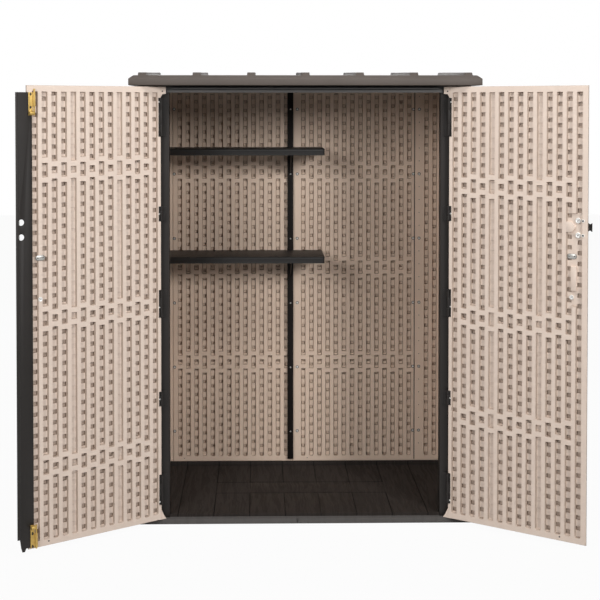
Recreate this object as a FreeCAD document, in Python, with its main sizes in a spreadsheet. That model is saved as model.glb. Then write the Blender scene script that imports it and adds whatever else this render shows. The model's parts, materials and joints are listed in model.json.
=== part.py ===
import FreeCAD
import Part
import Sketcher
import os

# Tall garden storage cabinet with moulded double-wall panels and two hinged doors.
# Millimetres. +X to the right, +Y to the rear, +Z up.
# The origin is at the centre of the base's underside.
# Each door is drawn in its own frame: x runs from the hinge axis to the free edge (negative on the
# right door), y points into the cabinet and the door's inner face is the plane y = 0.

DRIVING_SIZES = [
    ("opening_width", 1125),
    ("inside_width", 1330),
    ("inside_depth", 690),
    ("wall_thickness", 20),
    ("roof_soffit", 1820),
    ("step_height", 22),
    ("step_reach", 19.5),
    ("floor_height", 34),
    ("curb_height", 51.6),
    ("curb_width", 30),
    ("base_margin", 5),
    ("plank_pitch", 149.3),
    ("plank_first", -529),
    ("plank_count", 8),
    ("plank_seam_width", 3),
    ("plank_seam_depth", 1.5),
    ("short_plank_first", 2),
    ("short_plank_last", 5),
    ("cross_seam_front", -70),
    ("cross_seam_rear", 80),
    ("back_seam_left", -597.5),
    ("back_seam_middle", -33),
    ("back_seam_right", 545.5),
    ("corner_groove_left", -640),
    ("corner_groove_right", 602),
    ("back_left_middle", -313),
    ("back_right_middle", 269.5),
    ("wall_groove_pitch", 38.6),
    ("wall_groove_width", 19.5),
    ("wall_groove_depth", 7),
    ("wall_groove_count", 14),
    ("wall_groove_bottom", 75),
    ("wall_groove_top", 1795),
    ("wall_band_high", 1425),
    ("wall_band_middle", 974),
    ("wall_band_low", 525),
    ("wall_slot_short", 24),
    ("wall_slot_long", 62),
    ("wall_bar", 20),
    ("side_groove_first", -262),
    ("side_groove_count", 15),
    ("back_cladding_count", 4),
    ("side_cladding_count", 5),
    ("cladding_pitch", 128),
    ("cladding_width", 6),
    ("cladding_depth", 2.5),
    ("post_left", -56.5),
    ("post_width", 27.5),
    ("post_depth", 12),
    ("post_bottom", 65),
    ("post_wall", 3),
    ("jamb_depth", 42),
    ("jamb_plate", 4),
    ("jamb_margin", 4),
    ("header_bottom", 1791),
    ("header_lip_height", 11),
    ("header_lip_reach", 8),
    ("header_lip_overhang", 6),
    ("header_depth", 30),
    ("header_flange_bottom", 1806),
    ("header_flange_thickness", 4),
    ("header_flange_reach", 23),
    ("header_flange_setback", 10.5),
    ("roof_width", 1444.6),
    ("roof_front_reach", 80),
    ("roof_rear_reach", 35),
    ("roof_fascia_height", 27),
    ("roof_band_height", 14),
    ("roof_band_inset", 16),
    ("roof_end_inset", 19.6),
    ("roof_rise", 22),
    ("roof_skirt", 14),
    ("roof_recess_depth", 12),
    ("rib_width", 33),
    ("rib_height", 12),
    ("rib_pitch", 222.7),
    ("rib_count", 7),
    ("rib_rear_gap", 40),
    ("shelf_right", 105),
    ("shelf_depth", 265),
    ("shelf_thickness", 29),
    ("shelf_lip", 3),
    ("shelf_skin", 5),
    ("shelf_high_top", 1543),
    ("shelf_low_top", 1056),
    ("shelf_notch_gap", 1),
    ("shelf_cell_count", 6),
    ("gusset_thickness", 4),
    ("gusset_reach", 190),
    ("gusset_drop", 90),
    ("gusset_toe", 12),
    ("hinge_axis_offset", 593),
    ("hinge_standoff", 24),
    ("open_angle", 145.8),
    ("door_bottom", 22),
    ("door_top", 1815),
    ("door_length", 590),
    ("door_thickness", 28),
    ("door_edge_gap", 1.5),
    ("door_edge_lip", 6),
    ("door_edge_taper", 10),
    ("door_edge_heel", 8),
    ("hinge_notch", 13),
    ("hinge_notch_room", 2),
    ("ear_reach", 22.5),
    ("ear_thickness", 6),
    ("ear_top_height", 29),
    ("ear_bottom_height", 44),
    ("ear_slope", 14),
    ("ear_drop", 2),
    ("door_groove_first", 29),
    ("door_groove_pitch", 40.5),
    ("door_groove_width", 22),
    ("door_groove_depth", 9),
    ("door_groove_top", 1790),
    ("door_groove_bottom", 62),
    ("door_slot_short", 27),
    ("door_slot_long", 56.6),
    ("door_bar", 21),
    ("left_band_high", 1487),
    ("left_band_middle", 909.5),
    ("left_band_low", 328.5),
    ("right_band_high", 1408),
    ("right_band_middle", 869),
    ("right_band_low", 454),
    ("door_cladding_first", 98),
    ("door_cladding_count", 4),
    ("latch_recess_bottom", 953),
    ("latch_recess_top", 1318),
    ("latch_arrow_height", 1263),
    ("latch_arrow_near", 4),
    ("latch_arrow_shoulder", 22),
    ("latch_arrow_tip", 36),
    ("latch_block_near", 18),
    ("latch_block_far", 41),
    ("latch_block_bottom", 1014),
    ("latch_block_top", 1110),
    ("latch_height", 1260.5),
    ("latch_hole_spacing", 57),
    ("latch_hole_offset", 18.5),
    ("latch_bolt_offset", 40.7),
    ("latch_bolt_radius", 11),
    ("latch_bolt_height", 5),
    ("latch_ring_radius", 6.5),
    ("latch_ring_bore", 2.6),
    ("latch_ring_height", 2),
    ("hasp_offset", 65.5),
    ("hasp_rise", 38),
    ("hasp_length", 40),
    ("hasp_width", 21),
    ("hasp_thickness", 2.5),
    ("lower_bolt_height", 987.5),
    ("lower_bolt_radius", 9),
    ("left_hasp_offset", 53.5),
    ("handle_base_width", 16),
    ("handle_base_length", 86),
    ("handle_base_thickness", 4),
    ("handle_flange_radius", 18),
    ("handle_waist_radius", 11),
    ("handle_projection", 26),
    ("handle_flange_thickness", 5),
    ("handle_foot_inset", 2),
    ("astragal_overlap", 21),
    ("astragal_reach", 46),
    ("astragal_thickness", 3),
    ("astragal_gap", 0.5),
    ("astragal_rim_width", 10),
    ("astragal_rim_height", 2),
    ("astragal_top", 1788),
    ("astragal_shoulder", 67),
    ("astragal_tip_height", 17),
    ("astragal_tip_offset", 21),
    ("astragal_tip_width", 20),
    ("astragal_foot", 29),
    ("astragal_heel", 33),
    ("astragal_hole_radius", 12),
    ("bolt_offset", 29),
    ("bolt_radius", 3.5),
    ("bolt_standoff", 7),
    ("bolt_fit", 0.05),
    ("bolt_sleeve_wall", 2),
    ("bolt_plate_width", 17),
    ("bolt_web_overlap", 1),
    ("bolt_plate_thickness", 1.5),
    ("bolt_plate_length", 88),
    ("bolt_plate_hole_radius", 2.6),
    ("bolt_plate_hole_inset", 9.5),
    ("bolt_plate_hole_spacing", 50),
    ("bolt_knob_radius", 7),
    ("bolt_knob_length", 19),
    ("bolt_knob_gap", 0.5),
    ("bolt_neck_radius", 2.2),
    ("bolt_neck_rise", 1),
    ("bolt_knob_room", 34),
    ("bolt_knob_seat", 8.5),
    ("bolt_tip_gap", 1.5),
    ("bolt_high_plate_top", 1787),
    ("bolt_high_tip", 1801.5),
    ("bolt_low_plate_bottom", 27.5),
    ("strike_clearance", 1),
    ("strike_depth", 19),
    ("knuckle_radius", 5),
    ("knuckle_share", 0.3),
    ("knuckle_gap", 0.5),
    ("pin_radius", 2.4),
    ("pin_fit", 0.05),
    ("facet_count", 12),
    ("leaf_thickness", 2.5),
    ("leaf_flange_depth", 24),
    ("leaf_clearance", 2),
    ("bracket_thickness", 2),
    ("bracket_width", 22),
    ("bracket_arm", 4),
]

# Bottom and top of the five hinges, from the top one down.
HINGE_SPANS = [
    ("first", 1611, 1767),
    ("second", 1261, 1320),
    ("third", 863, 975),
    ("fourth", 495, 553),
    ("fifth", 84, 208),
]

doc = FreeCAD.newDocument("storage_cabinet")
sheet = doc.addObject("Spreadsheet::Sheet", "Size")
row = 1
for alias, number in DRIVING_SIZES:
    sheet.set("A%d" % row, alias)
    sheet.set("B%d" % row, str(number))
    sheet.setAlias("B%d" % row, alias)
    row += 1
for order, low, high in HINGE_SPANS:
    for end, number in (("bottom", low), ("top", high)):
        alias = "hinge_%s_%s" % (order, end)
        sheet.set("A%d" % row, alias)
        sheet.set("B%d" % row, str(number))
        sheet.setAlias("B%d" % row, alias)
        row += 1
doc.recompute()

# Lengths worked out from the driving sizes, as expressions.
FRONT = "(-Size.inside_depth / 2)"
BACK = "(Size.inside_depth / 2)"
WALL_IN = "(Size.inside_width / 2)"
WALL_OUT = "(Size.inside_width / 2 + Size.wall_thickness)"
BACK_OUT = "(Size.inside_depth / 2 + Size.wall_thickness)"
HALF_OPENING = "(Size.opening_width / 2)"
AXIS_Y = "(-Size.inside_depth / 2 - Size.hinge_standoff)"
KNUCKLE_HEIGHT = "(Size.knuckle_share * (%s - %s))"
LAST_GROOVE = 14

sub_parts = []


def value(expression):
    return float(sheet.evalExpression(str(expression)))


def keep(obj, label):
    obj.Label = label
    sub_parts.append(obj)
    return obj


def new_body(label):
    body = doc.addObject("PartDesign::Body", label)
    return keep(body, label)


def origin_plane(body, role):
    for feature in body.Origin.OriginFeatures:
        if feature.Role == role:
            return feature
    raise ValueError(role)


def new_sketch(body, name, role, offset="0"):
    sketch = body.newObject("Sketcher::SketchObject", name)
    sketch.AttachmentSupport = [(origin_plane(body, role), "")]
    sketch.MapMode = "FlatFace"
    sketch.setExpression("AttachmentOffset.Base.z", offset)
    return sketch


def pin_point(sketch, line, end, x, y):
    """Hold one end of a line at x, y, measured from the sketch's origin."""
    index = sketch.addConstraint(Sketcher.Constraint("DistanceX", -1, 1, line, end, value(x)))
    sketch.setExpression("Constraints[%d]" % index, x)
    index = sketch.addConstraint(Sketcher.Constraint("DistanceY", -1, 1, line, end, value(y)))
    sketch.setExpression("Constraints[%d]" % index, y)


def polygon(sketch, corners):
    """Closed outline through the corners, each held by two dimensions."""
    points = [FreeCAD.Vector(value(x), value(y), 0) for x, y in corners]
    first = sketch.GeometryCount
    count = len(points)
    for index in range(count):
        sketch.addGeometry(Part.LineSegment(points[index], points[(index + 1) % count]), False)
    for index in range(count):
        following = first + (index + 1) % count
        sketch.addConstraint(Sketcher.Constraint("Coincident", first + index, 2, following, 1))
    for index, (x, y) in enumerate(corners):
        pin_point(sketch, first + index, 1, x, y)


def rectangle(sketch, left, right, low, high):
    polygon(sketch, [(left, low), (right, low), (right, high), (left, high)])


def circle(sketch, x, y, radius):
    centre = FreeCAD.Vector(value(x), value(y), 0)
    line = sketch.addGeometry(Part.Circle(centre, FreeCAD.Vector(0, 0, 1), value(radius)), False)
    pin_point(sketch, line, 3, x, y)
    index = sketch.addConstraint(Sketcher.Constraint("Radius", line, value(radius)))
    sketch.setExpression("Constraints[%d]" % index, radius)


def pad(body, sketch, length, reverse=False, middle=False):
    feature = body.newObject("PartDesign::Pad", sketch.Name + "_pad")
    feature.Profile = sketch
    feature.setExpression("Length", length)
    feature.Reversed = reverse
    feature.Midplane = middle
    body.Tip = feature
    return feature


def pocket(body, sketch, length, reverse=False):
    feature = body.newObject("PartDesign::Pocket", sketch.Name + "_pocket")
    feature.Profile = sketch
    feature.setExpression("Length", length)
    feature.Reversed = reverse
    body.Tip = feature
    return feature


def repeat(body, feature, sketch, axis, step, count, reverse=False):
    pattern = body.newObject("PartDesign::LinearPattern", feature.Name + "_row")
    pattern.Originals = [feature]
    pattern.Direction = (sketch, [axis])
    pattern.setExpression("Length", "(%s) * (%s - 1)" % (step, count))
    pattern.setExpression("Occurrences", str(count))
    pattern.Reversed = reverse
    body.Tip = pattern
    return pattern


def times(sign, expression):
    """The expression, or its negative on the mirrored side."""
    return expression if sign > 0 else "-(%s)" % expression


def groove_parts(bottom, top, bands, slot, bar):
    """Low and high ends of a groove that bands interrupt: bar, slot, bar at each band."""
    parts = []
    low = bottom
    for band in bands:
        parts.append((low, "%s - %s / 2 - %s" % (band, slot, bar)))
        parts.append(("%s - %s / 2" % (band, slot), "%s + %s / 2" % (band, slot)))
        low = "%s + %s / 2 + %s" % (band, slot, bar)
    parts.append((low, top))
    return parts


def groove(body, name, role, face, centre, width, depth, parts, reverse):
    """Pocket for one vertical groove, drawn on the panel's inner face."""
    sketch = new_sketch(body, name, role, face)
    for low, high in parts:
        rectangle(sketch, "%s - %s / 2" % (centre, width), "%s + %s / 2" % (centre, width), low, high)
    return sketch, pocket(body, sketch, depth, reverse)


# Base with a low front step, plank seams, a curb round three sides and the strike hole.
def build_base():
    body = new_body("floor_base")
    half = WALL_OUT + " + Size.base_margin"
    front = FRONT + " - Size.step_reach"
    rear = BACK_OUT + " + Size.base_margin"
    slab = new_sketch(body, "base_slab", "XY_Plane")
    rectangle(slab, "-(%s)" % half, half, front, rear)
    pad(body, slab, "Size.step_height")
    behind = FRONT + " + Size.jamb_depth"
    curb_in = "%s + Size.base_margin - Size.curb_width" % WALL_OUT
    curb_back = "%s + Size.base_margin - Size.curb_width" % BACK_OUT
    floor = new_sketch(body, "base_floor", "XY_Plane", "Size.step_height")
    near = FRONT + " + Size.jamb_plate"
    polygon(floor, [
        ("-" + HALF_OPENING, near), (HALF_OPENING, near), (HALF_OPENING, behind),
        (curb_in, behind), (curb_in, curb_back), ("-(%s)" % curb_in, curb_back),
        ("-(%s)" % curb_in, behind), ("-" + HALF_OPENING, behind)])
    pad(body, floor, "Size.floor_height - Size.step_height")
    curb = new_sketch(body, "base_curb", "XY_Plane", "Size.step_height")
    polygon(curb, [
        ("-(%s)" % half, behind), ("-(%s)" % curb_in, behind), ("-(%s)" % curb_in, curb_back),
        (curb_in, curb_back), (curb_in, behind), (half, behind), (half, rear), ("-(%s)" % half, rear)])
    pad(body, curb, "Size.curb_height - Size.step_height")
    seam = new_sketch(body, "plank_seam", "XY_Plane", "Size.floor_height")
    rectangle(seam, "Size.plank_first - Size.plank_seam_width / 2",
              "Size.plank_first + Size.plank_seam_width / 2", near, curb_back)
    cut = pocket(body, seam, "Size.plank_seam_depth")
    repeat(body, cut, seam, "H_Axis", "Size.plank_pitch", "Size.plank_count")
    cross = new_sketch(body, "plank_ends", "XY_Plane", "Size.floor_height")
    for line in ("Size.cross_seam_front", "Size.cross_seam_rear"):
        rectangle(cross, "Size.plank_first + Size.short_plank_first * Size.plank_pitch",
                  "Size.plank_first + Size.short_plank_last * Size.plank_pitch",
                  line + " - Size.plank_seam_width / 2", line + " + Size.plank_seam_width / 2")
    pocket(body, cross, "Size.plank_seam_depth")
    strike = new_sketch(body, "base_strike", "XY_Plane", "Size.step_height")
    circle(strike, "-Size.hinge_axis_offset + Size.door_length - Size.bolt_offset",
           AXIS_Y + " + Size.bolt_standoff", "Size.bolt_radius + Size.strike_clearance")
    pocket(body, strike, "Size.strike_depth")


def banded_grooves(body, name, middle_of_first):
    """Vertical grooves of a rear panel: every other one has the long slot in its bands."""
    bands = ["Size.wall_band_low", "Size.wall_band_middle", "Size.wall_band_high"]
    for slot, shift in (("short", 0), ("long", 1)):
        centre = "%s + %d * Size.wall_groove_pitch" % (middle_of_first, shift)
        parts = groove_parts("Size.wall_groove_bottom", "Size.wall_groove_top", bands,
                             "Size.wall_slot_" + slot, "Size.wall_bar")
        sketch, cut = groove(body, "%s_%s" % (name, slot), "XZ_Plane", "-" + BACK, centre,
                             "Size.wall_groove_width", "Size.wall_groove_depth", parts, False)
        repeat(body, cut, sketch, "H_Axis", "2 * Size.wall_groove_pitch", "Size.wall_groove_count / 2")


def plain_grooves(body, name, role, face, first, count, pocket_reverse):
    """Vertical grooves that run from end to end."""
    sketch, cut = groove(body, name, role, face, first, "Size.wall_groove_width", "Size.wall_groove_depth",
                         [("Size.wall_groove_bottom", "Size.wall_groove_top")], pocket_reverse)
    if value(count) > 1:
        repeat(body, cut, sketch, "H_Axis", "Size.wall_groove_pitch", count)


def cladding(body, name, role, face, first, count, low, high, depth_reverse, reverse=False):
    """Shallow upright lines on a panel's outer face."""
    sketch = new_sketch(body, name, role, face)
    rectangle(sketch, first + " - Size.cladding_width / 2", first + " + Size.cladding_width / 2", low, high)
    cut = pocket(body, sketch, "Size.cladding_depth", depth_reverse)
    repeat(body, cut, sketch, "H_Axis", "Size.cladding_pitch", count, reverse)


# Two rear panels and a narrow corner board on each side.
def build_back_panel(label, left, right, middle):
    body = new_body(label)
    outline = new_sketch(body, label + "_outline", "XZ_Plane", "-" + BACK)
    rectangle(outline, left, right, "Size.curb_height", "Size.roof_soffit")
    pad(body, outline, "Size.wall_thickness", reverse=True)
    first = "%s - (Size.wall_groove_count - 1) / 2 * Size.wall_groove_pitch" % middle
    banded_grooves(body, label + "_groove", first)
    line = "(%s + %s) / 2 - (Size.back_cladding_count - 1) / 2 * Size.cladding_pitch" % (left, right)
    cladding(body, label + "_cladding", "XZ_Plane", "-" + BACK_OUT, line, "Size.back_cladding_count",
             "Size.wall_groove_bottom", "Size.wall_groove_top", True)


def build_corner_board(label, left, right, first, count):
    body = new_body(label)
    outline = new_sketch(body, label + "_outline", "XZ_Plane", "-" + BACK)
    rectangle(outline, left, right, "Size.curb_height", "Size.roof_soffit")
    pad(body, outline, "Size.wall_thickness", reverse=True)
    plain_grooves(body, label + "_groove", "XZ_Plane", "-" + BACK, first, count, False)


def build_side_wall(label, sign):
    body = new_body(label)
    face = times(sign, WALL_IN)
    outline = new_sketch(body, label + "_outline", "YZ_Plane", face)
    rectangle(outline, FRONT + " + Size.jamb_plate", BACK, "Size.curb_height", "Size.roof_soffit")
    pad(body, outline, "Size.wall_thickness", reverse=sign < 0)
    plain_grooves(body, label + "_groove", "YZ_Plane", face, "Size.side_groove_first", "Size.side_groove_count",
                  sign > 0)
    line = "-(Size.side_cladding_count - 1) / 2 * Size.cladding_pitch"
    cladding(body, label + "_cladding", "YZ_Plane", times(sign, WALL_OUT), line, "Size.side_cladding_count",
             "Size.wall_groove_bottom", "Size.wall_groove_top", sign < 0)


# Channel post over the joint of the two rear panels.
def build_post():
    body = new_body("back_post")
    profile = new_sketch(body, "post_profile", "XY_Plane", "Size.post_bottom")
    left = "Size.post_left"
    right = "Size.post_left + Size.post_width"
    front = BACK + " - Size.post_depth"
    polygon(profile, [
        (left, BACK), (left, front), (right, front), (right, BACK),
        (right + " - Size.post_wall", BACK), (right + " - Size.post_wall", front + " + Size.post_wall"),
        (left + " + Size.post_wall", front + " + Size.post_wall"), (left + " + Size.post_wall", BACK)])
    pad(body, profile, "Size.roof_soffit - Size.post_bottom")


# Front jambs: folded profiles that grip the side walls' front edges.
def build_jamb(label, sign):
    body = new_body(label)
    profile = new_sketch(body, label + "_profile", "XY_Plane", "Size.step_height")
    near = HALF_OPENING
    far = WALL_OUT + " + Size.jamb_margin"
    front = FRONT
    plate = FRONT + " + Size.jamb_plate"
    rear = FRONT + " + Size.jamb_depth"
    corners = [
        (near, front), (far, front), (far, rear), (WALL_OUT, rear), (WALL_OUT, plate), (WALL_IN, plate),
        (WALL_IN, rear), (WALL_IN + " - Size.jamb_plate", rear), (WALL_IN + " - Size.jamb_plate", plate),
        (near + " + Size.jamb_plate", plate), (near + " + Size.jamb_plate", rear), (near, rear)]
    polygon(profile, [(times(sign, x), y) for x, y in corners])
    pad(body, profile, "Size.header_bottom - Size.step_height")


# Header over the jambs: a web, a lip in front and a thin flange with the upper strike hole.
def build_header():
    body = new_body("header")
    section = new_sketch(body, "header_section", "YZ_Plane")
    web = FRONT + " + Size.jamb_plate"
    rear = FRONT + " + Size.header_depth"
    lip_top = "Size.header_bottom + Size.header_lip_height"
    polygon(section, [
        (FRONT, "Size.header_bottom"), (rear, "Size.header_bottom"), (rear, lip_top), (web, lip_top),
        (web, "Size.roof_soffit"), (FRONT, "Size.roof_soffit")])
    pad(body, section, "2 * (%s + Size.jamb_margin)" % WALL_OUT, middle=True)
    room = new_sketch(body, "header_wall_room", "XY_Plane", "Size.roof_soffit")
    for sign in (-1, 1):
        rectangle(room, times(sign, WALL_IN), times(sign, WALL_OUT + " + Size.jamb_margin"), web, rear)
    pocket(body, room, "Size.roof_soffit - Size.header_bottom")
    lip = new_sketch(body, "header_lip", "YZ_Plane")
    rectangle(lip, FRONT + " - Size.header_lip_reach", FRONT, "Size.header_bottom", lip_top)
    pad(body, lip, "Size.opening_width + 2 * Size.header_lip_overhang", middle=True)
    flange_top = "Size.header_flange_bottom + Size.header_flange_thickness"
    flange = new_sketch(body, "header_flange", "XY_Plane", "Size.header_flange_bottom")
    half = HALF_OPENING + " - Size.header_flange_setback"
    rectangle(flange, "-(%s)" % half, half, FRONT + " - Size.header_flange_reach", FRONT)
    pad(body, flange, "Size.header_flange_thickness")
    strike = new_sketch(body, "header_strike", "XY_Plane", flange_top)
    circle(strike, "-Size.hinge_axis_offset + Size.door_length - Size.bolt_offset",
           AXIS_Y + " + Size.bolt_standoff", "Size.bolt_radius + Size.strike_clearance")
    pocket(body, strike, "Size.header_flange_thickness")


# Roof panel: level skirt, sloping edge band, top plane that rises to the rear, and ribs.
def build_roof():
    body = new_body("roof")
    half = "Size.roof_width / 2"
    front = FRONT + " - Size.roof_front_reach"
    rear = BACK + " + Size.roof_rear_reach"
    length = "(%s - (%s))" % (rear, front)
    fascia_top = "Size.roof_soffit + Size.roof_fascia_height"
    slab = new_sketch(body, "roof_skirt", "XY_Plane", "Size.roof_soffit")
    rectangle(slab, "-" + half, half, front, rear)
    pad(body, slab, "Size.roof_fascia_height")
    lower = new_sketch(body, "roof_band_low", "XY_Plane", fascia_top)
    rectangle(lower, "-" + half, half, front, rear)
    upper = new_sketch(body, "roof_band_high", "XY_Plane", fascia_top + " + Size.roof_band_height")
    upper.AttachmentOffset = FreeCAD.Placement(FreeCAD.Vector(0, 0, 0), FreeCAD.Rotation(1, 0, 0, 1))
    tilt = "atan(Size.roof_rise / %s)" % length
    upper.setExpression("AttachmentOffset.Base.y", front + " + Size.roof_band_inset")
    upper.setExpression("AttachmentOffset.Rotation.Angle", tilt)
    inset_half = half + " - Size.roof_end_inset"
    rectangle(upper, "-(%s)" % inset_half, inset_half, "0", length + " - 2 * Size.roof_band_inset")
    loft = body.newObject("PartDesign::AdditiveLoft", "roof_band")
    loft.Profile = lower
    loft.Sections = [upper]
    loft.Ruled = True
    body.Tip = loft
    recess = new_sketch(body, "roof_recess", "XY_Plane", "Size.roof_soffit")
    inner = WALL_IN + " - Size.roof_skirt"
    rectangle(recess, "-(%s)" % inner, inner, FRONT + " + Size.header_depth + Size.roof_skirt",
              BACK + " - Size.post_depth - Size.roof_skirt")
    pocket(body, recess, "Size.roof_recess_depth", True)
    rib = new_sketch(body, "roof_rib", "YZ_Plane", "-(Size.rib_count - 1) / 2 * Size.rib_pitch")
    base_z = fascia_top + " + Size.roof_band_height"
    rise = "Size.roof_rise / %s" % length
    slope = "Size.roof_band_inset / Size.roof_band_height"
    near = front + " + Size.roof_band_inset"
    far = rear + " - Size.rib_rear_gap"
    sunk = "Size.roof_band_height / 2"
    polygon(rib, [
        (near + " - " + sunk + " * " + slope, base_z + " - " + sunk),
        (near + " + Size.rib_height * " + slope, base_z + " + Size.rib_height"),
        (far + " - Size.rib_height", base_z + " + Size.rib_height + (%s - (%s)) * %s" % (far, near, rise)),
        (far, base_z + " + (%s - (%s)) * %s" % (far, near, rise)),
        (far, base_z + " - " + sunk)])
    first = pad(body, rib, "Size.rib_width", middle=True)
    repeat(body, first, rib, "N_Axis", "Size.rib_pitch", "Size.rib_count")


# Shelves: front lip, rear notch round the post and hollow cells underneath.
def build_shelf(label, top):
    body = new_body(label)
    left = "-" + WALL_IN
    front = BACK + " - Size.shelf_depth"
    plate = new_sketch(body, label + "_plate", "XY_Plane", top + " - Size.shelf_thickness")
    notch_left = "Size.post_left - Size.shelf_notch_gap"
    notch_right = "Size.post_left + Size.post_width + Size.shelf_notch_gap"
    notch_front = BACK + " - Size.post_depth - Size.shelf_notch_gap"
    corner = "Size.shelf_lip * 2"
    polygon(plate, [
        (left, BACK), (left, front), ("Size.shelf_right - " + corner, front),
        ("Size.shelf_right", front + " + " + corner), ("Size.shelf_right", BACK),
        (notch_right, BACK), (notch_right, notch_front), (notch_left, notch_front), (notch_left, BACK)])
    pad(body, plate, "Size.shelf_thickness")
    lip = new_sketch(body, label + "_lip", "YZ_Plane", left)
    polygon(lip, [
        (front, top), (front, top + " - Size.shelf_thickness / 2"),
        (front + " - Size.shelf_lip", top + " - Size.shelf_thickness / 2 + Size.shelf_lip"),
        (front + " - Size.shelf_lip", top + " - Size.shelf_lip")])
    pad(body, lip, "Size.shelf_right + %s - %s" % (WALL_IN, corner))
    count = "Size.shelf_cell_count"
    span = "(Size.shelf_right + %s)" % WALL_IN
    cell = "%s / %s" % (span, count)
    cells = new_sketch(body, label + "_cell", "XY_Plane", top + " - Size.shelf_thickness")
    rectangle(cells, left + " + Size.shelf_skin", left + " - Size.shelf_skin + " + cell,
              front + " + Size.shelf_skin", notch_front + " - Size.shelf_skin")
    cut = pocket(body, cells, "Size.shelf_thickness - Size.shelf_skin", True)
    repeat(body, cut, cells, "H_Axis", cell, count)


# Triangular gussets under the shelves.
def build_gusset(label, top, left):
    body = new_body(label)
    under = "(%s - Size.shelf_thickness)" % top
    rear = "(%s - Size.post_depth)" % BACK if "post" in label else BACK
    profile = new_sketch(body, label + "_profile", "YZ_Plane", left)
    polygon(profile, [
        (rear, under), (rear + " - Size.gusset_reach", under),
        (rear + " - Size.gusset_reach", under + " - Size.gusset_thickness"),
        (rear + " - Size.gusset_toe", under + " - Size.gusset_drop"),
        (rear, under + " - Size.gusset_drop")])
    pad(body, profile, "Size.gusset_thickness")


def on_door(obj, sign):
    """Turn a piece drawn in the door's frame to its stored place, with the door open."""
    obj.Placement = FreeCAD.Placement(FreeCAD.Vector(0, 0, 0), FreeCAD.Rotation(0, 0, 1, 1))
    obj.setExpression("Placement.Base.x", times(sign, "Size.hinge_axis_offset"))
    obj.setExpression("Placement.Base.y", AXIS_Y)
    obj.setExpression("Placement.Rotation.Angle", times(sign, "Size.open_angle"))


def door_bands(side):
    return ["Size.%s_band_%s" % (side, height) for height in ("low", "middle", "high")]


def door_column(body, side, sign, first, count, step, kind):
    """Grooves at column first and then every step columns: plain, or with short or long slots."""
    centre = times(sign, "Size.door_groove_first + %d * Size.door_groove_pitch" % (first - 1))
    slot = "Size.door_slot_long" if kind == "long" else "Size.door_slot_short"
    bands = [] if kind == "plain" else door_bands(side)
    parts = groove_parts("Size.door_groove_bottom", "Size.door_groove_top", bands, slot, "Size.door_bar")
    name = "door_%s_column_%d" % (side, first)
    sketch, cut = groove(body, name, "XZ_Plane", "0", centre, "Size.door_groove_width",
                         "Size.door_groove_depth", parts, True)
    if count > 1:
        repeat(body, cut, sketch, "H_Axis", "%d * Size.door_groove_pitch" % step, count, sign < 0)


def latch_column(body, column, kind):
    """A right-door column that runs into the latch recess from below and from above."""
    centre = "-(Size.door_groove_first + %d * Size.door_groove_pitch)" % (column - 1)
    low, middle, high = door_bands("right")
    slot = "Size.door_slot_long"
    if kind == "plain":
        parts = [("Size.door_groove_bottom", "Size.latch_recess_bottom - Size.door_bar"),
                 ("Size.latch_recess_top + Size.door_bar", "Size.door_groove_top")]
    else:
        below = groove_parts("Size.door_groove_bottom", "Size.latch_recess_bottom", [low, middle], slot,
                             "Size.door_bar")
        above = groove_parts("Size.latch_recess_top + Size.door_bar", "Size.door_groove_top", [high], slot,
                             "Size.door_bar")
        parts = below[:-1] + above[1:]
    name = "door_right_column_%d" % column
    groove(body, name, "XZ_Plane", "0", centre, "Size.door_groove_width", "Size.door_groove_depth",
           parts, True)


def latch_recess(body):
    """Wide recess beside the handle, with raised islands left standing in it."""
    column = "Size.door_groove_first + %d * Size.door_groove_pitch"
    hinge_side = "(%s - Size.door_groove_width / 2)" % (column % (LAST_GROOVE - 2))
    free_side = "(%s + Size.door_groove_width / 2)" % (column % (LAST_GROOVE - 1))
    sketch = new_sketch(body, "latch_recess", "XZ_Plane")
    rectangle(sketch, "-" + free_side, "-" + hinge_side, "Size.latch_recess_bottom", "Size.latch_recess_top")
    middle = "Size.latch_arrow_height"
    half = "Size.door_bar"
    inset = "-(%s + Size.latch_%s)"
    polygon(sketch, [
        (inset % (hinge_side, "arrow_near"), middle + " - " + half),
        (inset % (hinge_side, "arrow_shoulder"), middle + " - " + half),
        (inset % (hinge_side, "arrow_tip"), middle),
        (inset % (hinge_side, "arrow_shoulder"), middle + " + " + half),
        (inset % (hinge_side, "arrow_near"), middle + " + " + half)])
    rectangle(sketch, inset % (hinge_side, "block_far"), inset % (hinge_side, "block_near"),
              "Size.latch_block_bottom", "Size.latch_block_top")
    pocket(body, sketch, "Size.door_groove_depth", True)


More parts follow.
